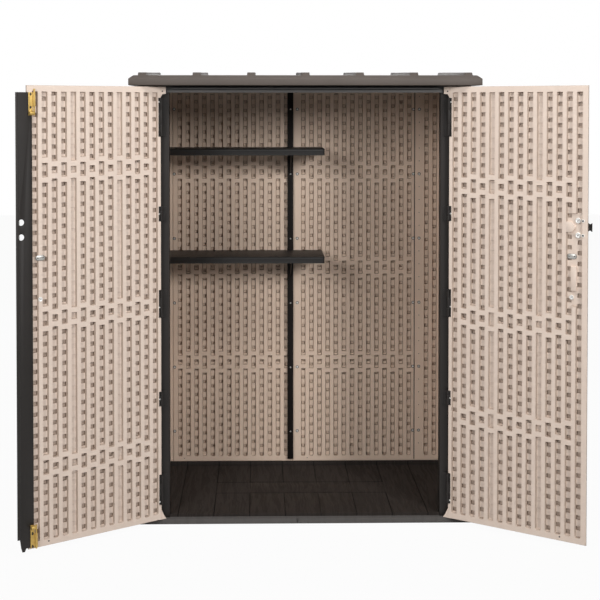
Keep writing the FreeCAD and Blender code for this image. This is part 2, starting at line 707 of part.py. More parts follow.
# Door panels: a double wall with a thin free edge, flat ears at the hinge corners, notches for the
# hinges and embossed grooves inside.
def build_door(side, sign, hand):
    label = "door_" + side
    body = new_body(label)
    near = times(sign, "Size.door_edge_gap")
    free = times(sign, "Size.door_length")
    outline = new_sketch(body, label + "_outline", "XZ_Plane")
    rectangle(outline, near, free, "Size.door_bottom", "Size.door_top")
    pad(body, outline, "Size.door_thickness")
    ears = new_sketch(body, label + "_ears", "XZ_Plane")
    tip = "-Size.ear_reach"
    for end, inward in (("Size.door_bottom", "+"), ("Size.door_top", "-")):
        height = "Size.ear_bottom_height" if inward == "+" else "Size.ear_top_height"
        root = "%s %s %s" % (end, inward, height)
        corners = [
            (tip, end), ("Size.door_edge_gap", end), ("Size.door_edge_gap", "%s %s Size.ear_slope" % (root, inward)),
            (tip + " / 4", "%s %s Size.ear_drop" % (root, inward)), (tip, root)]
        polygon(ears, [(times(sign, x), z) for x, z in corners])
    pad(body, ears, "Size.ear_thickness")
    notches = new_sketch(body, label + "_notches", "XZ_Plane")
    for order, low, high in HINGE_SPANS:
        rectangle(notches, near, times(sign, "Size.hinge_notch"),
                  "Size.hinge_%s_bottom - Size.hinge_notch_room" % order,
                  "Size.hinge_%s_top + Size.hinge_notch_room" % order)
    pocket(body, notches, "Size.door_thickness", True)
    taper = new_sketch(body, label + "_taper", "XY_Plane", "Size.door_top")
    polygon(taper, [
        (times(sign, "Size.door_length - Size.door_edge_taper"), "-Size.door_thickness"),
        (free, "-Size.door_thickness"), (free, "-Size.door_edge_lip")])
    polygon(taper, [
        (near, "-Size.door_thickness"), (times(sign, "Size.hinge_notch"), "-Size.door_thickness"),
        (near, "-Size.door_thickness + Size.door_edge_heel")])
    pocket(body, taper, "Size.door_top - Size.door_bottom")
    door_column(body, side, sign, 1, 1, 1, "plain")
    door_column(body, side, sign, 2, 6, 2, "short")
    if side == "left":
        door_column(body, side, sign, 3, 6, 2, "long")
        door_column(body, side, sign, LAST_GROOVE, 1, 1, "plain")
    else:
        door_column(body, side, sign, 3, 5, 2, "long")
        latch_column(body, LAST_GROOVE - 1, "long")
        latch_column(body, LAST_GROOVE, "plain")
        latch_recess(body)
    cladding(body, label + "_cladding", "XZ_Plane", "Size.door_thickness",
             times(sign, "Size.door_cladding_first"), "Size.door_cladding_count",
             "Size.door_groove_bottom", "Size.door_groove_top", False, sign < 0)
    on_door(body, hand)


# Astragal: dark strip along the left door's free edge with a rim, two holes and a rounded foot.
def build_astragal():
    body = new_body("astragal")
    inner = "Size.door_length - Size.astragal_overlap"
    outer = "Size.door_length + Size.astragal_reach"
    tip = "(Size.door_length + Size.astragal_tip_offset)"
    foot = tip + " - Size.astragal_tip_width / 2"
    strip = new_sketch(body, "astragal_strip", "XZ_Plane")
    polygon(strip, [
        (inner, "Size.astragal_foot"), (foot, "Size.astragal_foot"),
        (tip + " - Size.astragal_tip_width / 4", "Size.astragal_tip_height"),
        (tip + " + Size.astragal_tip_width / 4", "Size.astragal_tip_height"),
        (tip + " + Size.astragal_tip_width / 2", "Size.astragal_heel"),
        (outer + " - Size.astragal_rim_width", "Size.astragal_shoulder"),
        (outer, "Size.astragal_shoulder"), (outer, "Size.astragal_top"), (inner, "Size.astragal_top")])
    pad(body, strip, "Size.astragal_thickness", reverse=True)
    rim = new_sketch(body, "astragal_rim", "XZ_Plane", "-Size.astragal_thickness")
    rectangle(rim, outer + " - Size.astragal_rim_width", outer, "Size.astragal_shoulder", "Size.astragal_top")
    pad(body, rim, "Size.astragal_rim_height", reverse=True)
    relief = new_sketch(body, "astragal_relief", "XY_Plane", "0")
    rectangle(relief, "Size.door_length", outer, "0", "Size.astragal_gap")
    pocket(body, relief, "Size.astragal_top", True)
    holes = new_sketch(body, "astragal_holes", "XZ_Plane")
    hole_x = "2 * Size.hinge_axis_offset - Size.door_length + Size.latch_hole_offset"
    for side in ("-", "+"):
        circle(holes, hole_x, "Size.latch_height %s Size.latch_hole_spacing / 2" % side,
               "Size.astragal_hole_radius")
    pocket(body, holes, "Size.astragal_thickness")
    on_door(body, -1)


def fuse(label, pieces):
    whole = doc.addObject("Part::MultiFuse", label)
    whole.Shapes = pieces
    return whole


def cut_away(label, solid, tool):
    result = doc.addObject("Part::Cut", label)
    result.Base = solid
    result.Tool = tool
    return result


def box(name, left, right, front, rear, low, high):
    block = doc.addObject("Part::Box", name)
    block.setExpression("Length", "(%s) - (%s)" % (right, left))
    block.setExpression("Width", "(%s) - (%s)" % (rear, front))
    block.setExpression("Height", "(%s) - (%s)" % (high, low))
    block.setExpression("Placement.Base.x", left)
    block.setExpression("Placement.Base.y", front)
    block.setExpression("Placement.Base.z", low)
    return block


def stand(solid, length, x, y, z, direction):
    """Give an upright solid its length and place, turned to lie along x or y where asked."""
    turns = {"z": FreeCAD.Rotation(), "x": FreeCAD.Rotation(FreeCAD.Vector(0, 1, 0), 90),
             "y": FreeCAD.Rotation(FreeCAD.Vector(1, 0, 0), -90)}
    solid.Placement = FreeCAD.Placement(FreeCAD.Vector(0, 0, 0), turns[direction])
    solid.setExpression("Height", length)
    solid.setExpression("Placement.Base.x", x)
    solid.setExpression("Placement.Base.y", y)
    solid.setExpression("Placement.Base.z", z)
    return solid


def cylinder(name, radius, length, x, y, z, direction="z"):
    rod = doc.addObject("Part::Cylinder", name)
    rod.setExpression("Radius", radius)
    return stand(rod, length, x, y, z, direction)


def facets(name, radius, length, x, y, z, direction="z"):
    """Light stand-in for a small round head or knuckle: a prism with a dozen sides."""
    prism = doc.addObject("Part::Prism", name)
    prism.setExpression("Polygon", "Size.facet_count")
    prism.setExpression("Circumradius", radius)
    return stand(prism, length, x, y, z, direction)


# Hinges: a bracket with a pin on the jamb and a leaf with a middle knuckle on the door.
def build_bracket(side, sign, order):
    low = "Size.hinge_%s_bottom" % order
    high = "Size.hinge_%s_top" % order
    end = KNUCKLE_HEIGHT % (high, low)
    label = "bracket_%s_%s" % (side, order)
    x = "0"
    jamb_face = "Size.hinge_standoff"
    pieces = []
    inner = times(-sign, "Size.bracket_arm / 2")
    reach = times(-sign, "Size.bracket_width - Size.bracket_arm / 2")
    outer = times(sign, "Size.bracket_arm / 2")
    edges = (outer, reach) if sign < 0 else (reach, outer)
    pieces.append(box(label + "_plate", edges[0], edges[1],
                      jamb_face + " - Size.bracket_thickness", jamb_face, low, high))
    arm = (outer, inner) if sign < 0 else (inner, outer)
    for name, start, stop in (("low", low, "%s + %s" % (low, end)), ("high", "%s - %s" % (high, end), high)):
        pieces.append(box("%s_arm_%s" % (label, name), arm[0], arm[1], "0", jamb_face, start, stop))
        pieces.append(facets("%s_knuckle_%s" % (label, name), "Size.knuckle_radius", end, x, x, start))
    pieces.append(cylinder(label + "_pin", "Size.pin_radius", "%s - %s" % (high, low), x, x, low))
    bracket = fuse(label, pieces)
    bracket.setExpression("Placement.Base.x", times(sign, "Size.hinge_axis_offset"))
    bracket.setExpression("Placement.Base.y", AXIS_Y)
    return bracket


def build_leaf(side, sign, order):
    low = "Size.hinge_%s_bottom" % order
    high = "Size.hinge_%s_top" % order
    end = KNUCKLE_HEIGHT % (high, low)
    x = "0"
    label = "leaf_%s_%s" % (side, order)
    start = "%s + %s + Size.knuckle_gap" % (low, end)
    stop = "%s - %s - Size.knuckle_gap" % (high, end)
    edge = "Size.hinge_notch"
    clear = "Size.knuckle_radius + Size.leaf_clearance"

    def spread(near, far):
        ends = (times(-sign, near), times(-sign, far))
        return ends if sign < 0 else (ends[1], ends[0])

    web = spread("0", edge)
    strip = spread(clear, edge)
    flange = spread(edge + " - Size.leaf_thickness", edge)
    solid = fuse(label + "_solid", [
        facets(label + "_knuckle", "Size.knuckle_radius", "%s - (%s)" % (stop, start), x, x, start),
        box(label + "_web", web[0], web[1], "-Size.leaf_thickness", "0", start, stop),
        box(label + "_strip", strip[0], strip[1], "-Size.leaf_thickness", "0", low, high),
        box(label + "_flange", flange[0], flange[1], "-Size.leaf_flange_depth", "0", low, high)])
    bore = cylinder(label + "_bore", "Size.pin_radius + Size.pin_fit", "%s - (%s)" % (stop, start), x, x, start)
    leaf = cut_away(label, solid, bore)
    on_door(leaf, sign)
    return leaf


def build_hinges(side, sign):
    """All brackets of one side as one row, and all leaves as another."""
    for kind, build in (("hinge_brackets", build_bracket), ("hinge_leaves", build_leaf)):
        row_of_five = doc.addObject("Part::Compound", "%s_%s_row" % (kind, side))
        row_of_five.Links = [build(side, sign, order) for order, low, high in HINGE_SPANS]
        keep(row_of_five, "%s_%s" % (kind, side))


# Slide bolts on the left door: a flat plate with a sleeve, and a rod with a thumb knob.
def build_slide_bolt(where, plate_low, plate_high, rod_low, rod_high, knob_height, hole_from):
    label = "bolt_plate_" + where
    centre = "(Size.door_length - Size.bolt_offset)"
    near = "%s + Size.bolt_radius + Size.bolt_sleeve_wall" % centre
    surface = "Size.astragal_thickness"
    top = surface + " + Size.bolt_plate_thickness"
    sleeve = "Size.bolt_radius + Size.bolt_fit + Size.bolt_sleeve_wall"
    if where == "high":
        sleeve_low = plate_low + " + Size.bolt_knob_room"
        sleeve_high = plate_high
    else:
        sleeve_low = plate_low
        sleeve_high = plate_high + " - Size.bolt_knob_room"
    span = "%s - (%s)" % (sleeve_high, sleeve_low)
    solid = fuse(label + "_solid", [
        box(label + "_flat", near, near + " + Size.bolt_plate_width", surface, top, plate_low, plate_high),
        box(label + "_web", centre, near + " + Size.bolt_web_overlap", surface, top, sleeve_low, sleeve_high),
        facets(label + "_sleeve", sleeve, span, centre, "Size.bolt_standoff", sleeve_low)])
    hole_x = near + " + Size.bolt_plate_width / 2"
    tools = [cylinder(label + "_bore", "Size.bolt_radius + Size.bolt_fit", span, centre,
                      "Size.bolt_standoff", sleeve_low)]
    for index in range(2):
        height = "%s + %d * Size.bolt_plate_hole_spacing" % (hole_from, index)
        tools.append(facets("%s_hole_%d" % (label, index), "Size.bolt_plate_hole_radius",
                            "Size.bolt_plate_thickness", hole_x, surface, height, "y"))
    plate = keep(cut_away(label, solid, fuse(label + "_tools", tools)), label)
    on_door(plate, -1)

    label = "bolt_rod_" + where
    rod = cylinder(label + "_shaft", "Size.bolt_radius", "%s - (%s)" % (rod_high, rod_low), centre,
                   "Size.bolt_standoff", rod_low)
    arm = facets(label + "_knob", "Size.bolt_knob_radius", "Size.bolt_knob_length",
                 centre + " + Size.bolt_radius + Size.bolt_knob_gap",
                 top + " + Size.bolt_knob_radius + Size.bolt_knob_gap", knob_height, "x")
    neck = facets(label + "_neck", "Size.bolt_neck_radius", "Size.bolt_knob_length", centre,
                  "Size.bolt_standoff + Size.bolt_neck_rise", knob_height, "x")
    on_door(keep(fuse(label, [rod, arm, neck]), label), -1)


def door_x(sign, offset):
    """Place across the door, measured from its free edge."""
    return times(-sign, "(Size.door_length - %s)" % offset)


def discs(label, sign, heights, offset, radius, low, thick, bore=None):
    """Round heads or rings in the door's frame, one for each height."""
    pieces = []
    for index, height in enumerate(heights):
        x = door_x(sign, offset)
        disc = facets("%s_%d" % (label, index), radius, thick, x, low, height, "y")
        if bore:
            hole = facets("%s_hole_%d" % (label, index), bore, thick, x, low, height, "y")
            disc = cut_away("%s_ring_%d" % (label, index), disc, hole)
        pieces.append(disc)
    return pieces


def group_on_door(label, sign, pieces):
    """Several small fittings of one door and one material as one sub-part."""
    group = doc.addObject("Part::Compound", label + "_group")
    group.Links = pieces
    on_door(keep(group, label), sign)


def oval_plate(label, sign, offset, height, low):
    """Flat plate with clipped corners."""
    body = doc.addObject("PartDesign::Body", label)
    sketch = new_sketch(body, label + "_outline", "XZ_Plane", "-(%s)" % low)
    x = door_x(sign, offset)
    long_half = "Size.hasp_length / 2"
    short_half = "Size.hasp_width / 2"
    cut = "Size.hasp_width / 3"
    polygon(sketch, [
        ("%s - %s" % (x, long_half), "%s - %s + %s" % (height, short_half, cut)),
        ("%s - %s + %s" % (x, long_half, cut), "%s - %s" % (height, short_half)),
        ("%s + %s - %s" % (x, long_half, cut), "%s - %s" % (height, short_half)),
        ("%s + %s" % (x, long_half), "%s - %s + %s" % (height, short_half, cut)),
        ("%s + %s" % (x, long_half), "%s + %s - %s" % (height, short_half, cut)),
        ("%s + %s - %s" % (x, long_half, cut), "%s + %s" % (height, short_half)),
        ("%s - %s + %s" % (x, long_half, cut), "%s + %s" % (height, short_half)),
        ("%s - %s" % (x, long_half), "%s + %s - %s" % (height, short_half, cut))])
    pad(body, sketch, "Size.hasp_thickness", reverse=True)
    return body


# Outside handle: a base plate and a turned spool with a narrow waist.
def build_handle():
    base = doc.addObject("PartDesign::Body", "handle_base")
    sketch = new_sketch(base, "handle_base_outline", "XZ_Plane", "Size.door_thickness")
    x = door_x(1, "Size.latch_hole_offset")
    half_w = "Size.handle_base_width / 2"
    half_l = "Size.handle_base_length / 2"
    corner = "Size.handle_base_width / 4"
    z = "Size.latch_height"
    polygon(sketch, [
        ("%s - %s" % (x, half_w), "%s - %s + %s" % (z, half_l, corner)),
        ("%s - %s + %s" % (x, half_w, corner), "%s - %s" % (z, half_l)),
        ("%s + %s - %s" % (x, half_w, corner), "%s - %s" % (z, half_l)),
        ("%s + %s" % (x, half_w), "%s - %s + %s" % (z, half_l, corner)),
        ("%s + %s" % (x, half_w), "%s + %s - %s" % (z, half_l, corner)),
        ("%s + %s - %s" % (x, half_w, corner), "%s + %s" % (z, half_l)),
        ("%s - %s + %s" % (x, half_w, corner), "%s + %s" % (z, half_l)),
        ("%s - %s" % (x, half_w), "%s + %s - %s" % (z, half_l, corner))])
    pad(base, sketch, "Size.handle_base_thickness")

    spool = doc.addObject("PartDesign::Body", "handle_spool")
    profile = new_sketch(spool, "spool_profile", "XY_Plane")
    near = "-(Size.door_thickness + Size.handle_base_thickness)"
    far = "-(Size.door_thickness + Size.handle_base_thickness + Size.handle_projection)"
    flange = "Size.handle_flange_radius"
    waist = "Size.handle_waist_radius"
    thick = "Size.handle_flange_thickness"
    polygon(profile, [
        ("0", near), (flange + " - Size.handle_foot_inset", near), (waist, near + " - " + thick),
        (waist, far + " + 2 * " + thick), (flange, far + " + " + thick), (flange, far), ("0", far)])
    turn = spool.newObject("PartDesign::Revolution", "spool_turn")
    turn.Profile = profile
    turn.ReferenceAxis = (profile, ["V_Axis"])
    turn.Angle = 360
    spool.Tip = turn
    spool.setExpression("Placement.Base.x", x)
    spool.setExpression("Placement.Base.z", z)
    on_door(keep(fuse("handle_whole", [base, spool]), "handle"), 1)


build_base()
build_back_panel("wall_back_left", "Size.back_seam_left", "Size.back_seam_middle", "Size.back_left_middle")
build_back_panel("wall_back_right", "Size.back_seam_middle", "Size.back_seam_right", "Size.back_right_middle")
build_corner_board("corner_left", "-" + WALL_OUT, "Size.back_seam_left", "Size.corner_groove_left", 1)
build_corner_board("corner_right", "Size.back_seam_right", WALL_OUT, "Size.corner_groove_right", 2)
build_side_wall("wall_left", -1)
build_side_wall("wall_right", 1)
build_post()
build_header()
build_roof()
for shelf in ("high", "low"):
    shelf_top = "Size.shelf_%s_top" % shelf
    build_shelf("shelf_" + shelf, shelf_top)
    build_gusset("gusset_wall_" + shelf, shelf_top, "-" + WALL_IN)
    build_gusset("gusset_post_" + shelf, shelf_top,
                 "Size.post_left + Size.post_width / 2 - Size.gusset_thickness / 2")
for door_side, door_sign in (("left", -1), ("right", 1)):
    build_jamb("jamb_" + door_side, door_sign)
    build_door(door_side, -door_sign, door_sign)
    build_hinges(door_side, door_sign)
build_astragal()
build_slide_bolt("high", "Size.bolt_high_plate_top - Size.bolt_plate_length", "Size.bolt_high_plate_top",
                 "Size.bolt_high_plate_top - Size.bolt_plate_length", "Size.bolt_high_tip",
                 "Size.bolt_high_plate_top - Size.bolt_plate_length + Size.bolt_knob_seat",
                 "Size.bolt_high_plate_top - Size.bolt_plate_hole_inset - Size.bolt_plate_hole_spacing")
build_slide_bolt("low", "Size.bolt_low_plate_bottom", "Size.bolt_low_plate_bottom + Size.bolt_plate_length",
                 "Size.step_height + Size.bolt_tip_gap", "Size.bolt_low_plate_bottom + Size.bolt_plate_length",
                 "Size.bolt_low_plate_bottom + Size.bolt_plate_length - Size.bolt_knob_seat",
                 "Size.bolt_low_plate_bottom + Size.bolt_plate_hole_inset")
latch_heights = ["Size.latch_height - Size.latch_hole_spacing / 2", "Size.latch_height + Size.latch_hole_spacing / 2"]
recess_floor = "-Size.door_groove_depth"
right_fittings = discs("latch_bolt", 1, latch_heights, "Size.latch_bolt_offset", "Size.latch_bolt_radius",
                       recess_floor, "Size.latch_bolt_height")
right_fittings += discs("lower_bolt_right", 1, ["Size.lower_bolt_height"], "Size.hasp_offset",
                        "Size.lower_bolt_radius", recess_floor, "Size.latch_bolt_height")
hasp_height = "Size.latch_block_top + Size.hasp_rise"
right_fittings.append(oval_plate("hasp_right", 1, "Size.hasp_offset", hasp_height, recess_floor))
group_on_door("latch_fittings", 1, right_fittings)
left_fittings = discs("lower_bolt_left", -1, ["Size.lower_bolt_height"], "Size.left_hasp_offset",
                      "Size.lower_bolt_radius", "0", "Size.latch_ring_height")
left_fittings.append(oval_plate("hasp_left", -1, "Size.left_hasp_offset", hasp_height, "0"))
group_on_door("left_fittings", -1, left_fittings)
group_on_door("latch_rings", 1, discs("latch_ring", 1, latch_heights, "Size.latch_hole_offset",
                                      "Size.latch_ring_radius", "0", "Size.latch_ring_height",
                                      "Size.latch_ring_bore"))
build_handle()

doc.recompute()
for item in doc.Objects:
    if "Invalid" in item.State or "Error" in item.State:
        raise RuntimeError("%s failed: %s" % (item.Label, item.State))
for item in sub_parts:
    if item.Shape.isNull() or not item.Shape.isValid() or item.Shape.Volume < 1:
        raise RuntimeError("%s has no sound solid" % item.Label)
os.makedirs("parts", exist_ok=True)
for item in sub_parts:
    item.Shape.exportStep("parts/%s.step" % item.Label)
print("%d sub-parts written" % len(sub_parts))
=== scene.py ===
"""Looks for a tall garden storage cabinet with open doors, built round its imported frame. Metres, +Z up."""
import json
import math

import bmesh
import bpy
from mathutils import Matrix, Vector


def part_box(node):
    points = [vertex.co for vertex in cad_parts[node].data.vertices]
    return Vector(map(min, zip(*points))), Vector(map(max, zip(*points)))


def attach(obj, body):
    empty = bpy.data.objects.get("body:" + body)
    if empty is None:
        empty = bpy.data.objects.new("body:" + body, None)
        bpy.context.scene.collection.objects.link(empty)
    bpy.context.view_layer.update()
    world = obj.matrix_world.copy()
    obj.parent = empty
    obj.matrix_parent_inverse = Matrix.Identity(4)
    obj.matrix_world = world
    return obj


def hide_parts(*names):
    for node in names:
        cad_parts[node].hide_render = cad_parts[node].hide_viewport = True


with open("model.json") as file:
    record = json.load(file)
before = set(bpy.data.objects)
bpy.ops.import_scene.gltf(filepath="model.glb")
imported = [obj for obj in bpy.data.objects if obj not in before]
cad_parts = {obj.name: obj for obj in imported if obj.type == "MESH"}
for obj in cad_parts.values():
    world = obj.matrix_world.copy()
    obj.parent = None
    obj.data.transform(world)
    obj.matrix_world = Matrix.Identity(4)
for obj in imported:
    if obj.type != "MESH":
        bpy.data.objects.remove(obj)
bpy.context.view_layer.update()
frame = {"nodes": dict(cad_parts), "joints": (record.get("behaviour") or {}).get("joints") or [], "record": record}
NODES = frame["nodes"]
MM = 0.001
TINY = 1e-5
NO_LIMIT = 10.0  # further than any panel reaches

# Places read from the frame.
BACK_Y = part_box("wall_back_left")[0].y
WALL_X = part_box("wall_right")[0].x
PANEL_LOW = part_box("wall_left")[0].z
PANEL_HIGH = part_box("wall_left")[1].z
DOOR_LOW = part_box("door_left")[0].z
DOOR_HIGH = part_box("door_left")[1].z
JOINTS = {joint["name"]: joint for joint in frame["joints"]}

# Driving sizes of the moulded panels.
DOOR_LENGTH = 590 * MM
DOOR_THICKNESS = 28 * MM
DOOR_EDGE = 13 * MM
DOOR_NEAR = 1.5 * MM
FREE_EDGE_LIP = 6 * MM
FREE_EDGE_TAPER = 10 * MM
HEEL = 8 * MM
OPEN_ANGLE = math.radians(JOINTS["door_left_swing"]["range_deg"][1])
WALL_THICKNESS = 20 * MM

# Lower and upper end of each hinge notch in a door's edge, and the room round it, in millimetres.
HINGE_SPANS = [(84, 208), (495, 553), (863, 975), (1261, 1320), (1611, 1767)]
HINGE_ROOM = 2


# Shader and geometry maths on sockets.
class Wire:
    """A socket that can be added, multiplied and so on, in a shader or geometry tree."""

    def __init__(self, tree, socket):
        self.tree = tree
        self.socket = socket

    def maths(self, operation, *others, clamp=False):
        sockets = dict(enumerate((self,) + others))
        return made(self.tree, "ShaderNodeMath", {"operation": operation, "use_clamp": clamp}, sockets)

    def reflected(self, operation, other):
        return made(self.tree, "ShaderNodeMath", {"operation": operation}, {0: other, 1: self})

    def __add__(self, other):
        return self.maths("ADD", other)

    __radd__ = __add__

    def __sub__(self, other):
        return self.maths("SUBTRACT", other)

    def __rsub__(self, other):
        return self.reflected("SUBTRACT", other)

    def __mul__(self, other):
        return self.maths("MULTIPLY", other)

    __rmul__ = __mul__

    def __truediv__(self, other):
        return self.maths("DIVIDE", other)

    def __rtruediv__(self, other):
        return self.reflected("DIVIDE", other)

    def at_least(self, other):
        return self.maths("MAXIMUM", other)

    def at_most(self, other):
        return self.maths("MINIMUM", other)

    def above(self, other):
        return self.maths("GREATER_THAN", other)

    def size(self):
        return self.maths("ABSOLUTE")

    def floor(self):
        return self.maths("FLOOR")

    def fraction(self):
        return self.maths("FRACT")

    def sine(self):
        return self.maths("SINE")

    def root(self):
        return self.maths("SQRT")

    def clamped(self):
        return self.maths("ADD", 0.0, clamp=True)


def plug(tree, item, target):
    """Link a wire to a socket, or set the socket to a number or a vector."""
    if isinstance(item, Wire):
        tree.links.new(item.socket, target)
    else:
        target.default_value = item


def made(tree, kind, settings=None, sockets=None, result=0):
    """A node of a kind: its settings are made first, then its sockets are set or linked."""
    node = tree.nodes.new(kind)
    for name, item in (settings or {}).items():
        setattr(node, name, item)
    for key, item in (sockets or {}).items():
        plug(tree, item, node.inputs[key])
    return Wire(tree, node.outputs[result]) if node.outputs else None


def parts_of(tree, vector):
    """X, Y and Z of a vector wire."""
    separate = made(tree, "ShaderNodeSeparateXYZ", sockets={0: vector})
    return [Wire(tree, output) for output in separate.socket.node.outputs]


def vector_of(tree, x, y, z):
    return made(tree, "ShaderNodeCombineXYZ", sockets={0: x, 1: y, 2: z})


def paint(hexcode):
    """Linear colour of a screen colour given as six hex digits."""
    parts = []
    for index in (0, 2, 4):
        level = int(hexcode[index:index + 2], 16) / 255
        parts.append(level / 12.92 if level <= 0.04045 else ((level + 0.055) / 1.055) ** 2.4)
    return (*parts, 1.0)


class Finish:
    """A material under construction, with its object coordinates at hand."""

    def __init__(self, name):
        self.material = bpy.data.materials.new(name)
        self.material.use_nodes = True
        self.tree = self.material.node_tree
        self.shader = next(n for n in self.tree.nodes if n.type == "BSDF_PRINCIPLED")
        self.place = made(self.tree, "ShaderNodeTexCoord", result="Object")

    def stretched(self, scale):
        return made(self.tree, "ShaderNodeMapping", sockets={"Vector": self.place, "Scale": scale})

    def noise(self, scale, detail=2.0, rough=0.5, place=None):
        return made(self.tree, "ShaderNodeTexNoise", sockets={
            "Vector": place or self.place, "Scale": scale, "Detail": detail, "Roughness": rough})

    def cells(self, scale):
        return made(self.tree, "ShaderNodeTexVoronoi", sockets={"Vector": self.place, "Scale": scale},
                    result="Distance")

    def mixed(self, factor, first, second):
        return made(self.tree, "ShaderNodeMix", {"data_type": "RGBA"}, {0: factor, 6: first, 7: second}, 2)

    def attribute(self, name):
        return made(self.tree, "ShaderNodeAttribute", {"attribute_name": name}, result="Fac")

    def bump(self, height, distance, strength):
        plug(self.tree, made(self.tree, "ShaderNodeBump", sockets={
            "Height": height, "Distance": distance, "Strength": strength}), self.shader.inputs["Normal"])

    def wear(self, radius, strength):
        """Where the surface turns, from the difference between its normal and a bevelled one."""
        bevel = made(self.tree, "ShaderNodeBevel", sockets={"Radius": radius})
        normal = made(self.tree, "ShaderNodeNewGeometry", result="Normal")
        dot = made(self.tree, "ShaderNodeVectorMath", {"operation": "DOT_PRODUCT"}, {0: bevel, 1: normal},
                   "Value")
        return ((1.0 - dot) * strength).clamped()

    def done(self, colour, roughness, metallic=0.0, specular=0.5):
        plug(self.tree, colour, self.shader.inputs["Base Color"])
        plug(self.tree, roughness, self.shader.inputs["Roughness"])
        self.shader.inputs["Metallic"].default_value = metallic
        self.shader.inputs["Specular IOR Level"].default_value = specular
        return self.material


# Finishes. A colour is six hex digits as the screen shows it, and a noise's scale is per metre.
def moulded_beige(name="moulded_beige", low="E2CFC1", high="EBDACC"):
    """Matt blow-moulded resin with a fine orange-peel grain and flecks of dust, with painted shade in its pits, on
    its groove floors and on its groove walls.
    """
    finish = Finish(name)
    grain = finish.noise(900.0, detail=3.0, rough=0.6)
    cloud = finish.noise(3.2, detail=3.0)
    fleck = finish.noise(260.0, rough=0.7)
    dust = ((fleck - 0.5) * 0.5 + 0.12).clamped()
    colour = finish.mixed(cloud, paint(low), paint(high))
    colour = finish.mixed(dust, colour, paint("D6C1B1"))
    # Painted shade: the hollow attribute darkens pits and groove floors, and the flank attribute darkens groove
    # walls.
    colour = finish.mixed(finish.attribute("hollow").clamped(), colour, paint("8A715C"))
    colour = finish.mixed(finish.attribute("flank").clamped(), colour, paint("816B59"))
    finish.bump(grain * 0.7 + fleck * 0.3, distance=0.35 * MM, strength=0.35)
    return finish.done(colour, fleck * 0.18 + 0.5, specular=0.35)


def moulded_dark(name="moulded_dark", low="232120", high="322F2D", specular=0.45):
    """Dark grey resin with a pebbled grain, paler along its edges: partly rubbed wear, partly a painted highlight.
    """
    finish = Finish(name)
    pebble = finish.cells(620.0)
    cloud = finish.noise(6.0, detail=3.0)
    fine = finish.noise(1200.0)
    colour = finish.mixed(cloud, paint(low), paint(high))
    # Paler edges: partly rubbed wear, partly a painted highlight along them.
    colour = finish.mixed(finish.wear(radius=1.2 * MM, strength=1.8), colour, paint("5D5853"))
    finish.bump(pebble * 0.7 + fine * 0.3, distance=0.3 * MM, strength=0.4)
    return finish.done(colour, pebble * 0.25 + 0.42, specular=specular)


# The floor's boards run to the rear. Two cross seams close the short boards in the middle.
BOARDS_FROM = -529 * MM
BOARD_PITCH = 149.3 * MM
LONG_SEAM = 2.6 * MM
CROSS_SEAM = 4 * MM
SHORT_LEFT, SHORT_RIGHT = -381 * MM, 369 * MM
SHORT_MIDDLE, SHORT_HALF = 5 * MM, 75 * MM
TREAD_LEVEL = 23 * MM
GRAIN_ACROSS, GRAIN_ALONG = 46.0, 3.2
GRAIN_RINGS = 26.0


def plank_dark():
    """Dark resin floor moulded as boards with raised wood grain, and a paler step below their level."""
    finish = Finish("plank_dark")
    x, y, z = parts_of(finish.tree, finish.place)
    boards = (x - BOARDS_FROM) / BOARD_PITCH
    board = boards.floor()
    shift = board * 0.37
    drift = finish.noise(7.0, detail=3.0)
    along = vector_of(finish.tree, x * GRAIN_ACROSS + drift * 1.6, y * GRAIN_ALONG + shift * 9.0, board * 5.3)
    fibre = finish.noise(1.0, detail=5.0, rough=0.62, place=along)
    rings = (fibre * GRAIN_RINGS).sine() * 0.5 + 0.5
    tread = finish.mixed(rings, paint("26211E"), paint("332D2A"))
    tread = finish.mixed(finish.noise(9.0), tread, paint("2E2926"))
    to_seam = ((boards + 0.5).fraction() - 0.5).size() * BOARD_PITCH
    from_middle = (y - SHORT_MIDDLE).size()
    to_cross = (from_middle - SHORT_HALF).size()
    short = (x - SHORT_LEFT).above(0.0) * (SHORT_RIGHT - x).above(0.0)
    middle = (SHORT_HALF - from_middle).above(0.0)
    lengthwise = (1.0 - to_seam / LONG_SEAM).clamped() * (1.0 - short * middle)
    crosswise = (1.0 - to_cross / CROSS_SEAM).clamped() * short
    tread = finish.mixed((lengthwise.at_least(crosswise) * 1.7).clamped(), tread, paint("0B0908"))
    step = finish.mixed(fibre, paint("504D4B"), paint("605D5B"))
    colour = finish.mixed((z - TREAD_LEVEL).above(0.0), step, tread)
    finish.bump(rings * 0.8 + finish.noise(500.0) * 0.2, distance=0.8 * MM, strength=0.6)
    return finish.done(colour, rings * -0.1 + 0.7, specular=0.12)


def powder_coat(name="powder_coat", low="221F1D", high="2D2927", specular=0.28):
    """Charcoal powder coat on steel, worn a little along its edges."""
    finish = Finish(name)
    peel = finish.noise(700.0)
    cloud = finish.noise(5.0)
    colour = finish.mixed(cloud, paint(low), paint(high))
    colour = finish.mixed(finish.wear(radius=0.8 * MM, strength=1.6), colour, paint("595450"))
    finish.bump(peel, distance=0.25 * MM, strength=0.3)
    return finish.done(colour, peel * 0.16 + 0.42, specular=specular)


def brass_plate():
    """Yellow passivated steel of the slide bolts, brushed along them."""
    finish = Finish("brass_plate")
    brushed = finish.noise(1.0, detail=4.0, rough=0.6, place=finish.stretched((900.0, 900.0, 60.0)))
    stain = finish.noise(120.0, detail=3.0)
    colour = finish.mixed(stain, paint("B3924C"), paint("DAB868"))
    colour = finish.mixed(finish.wear(radius=0.5 * MM, strength=1.5), colour, paint("E6D8A6"))
    finish.bump(brushed, distance=0.08 * MM, strength=0.3)
    return finish.done(colour, brushed * 0.22 + 0.34, metallic=0.5)


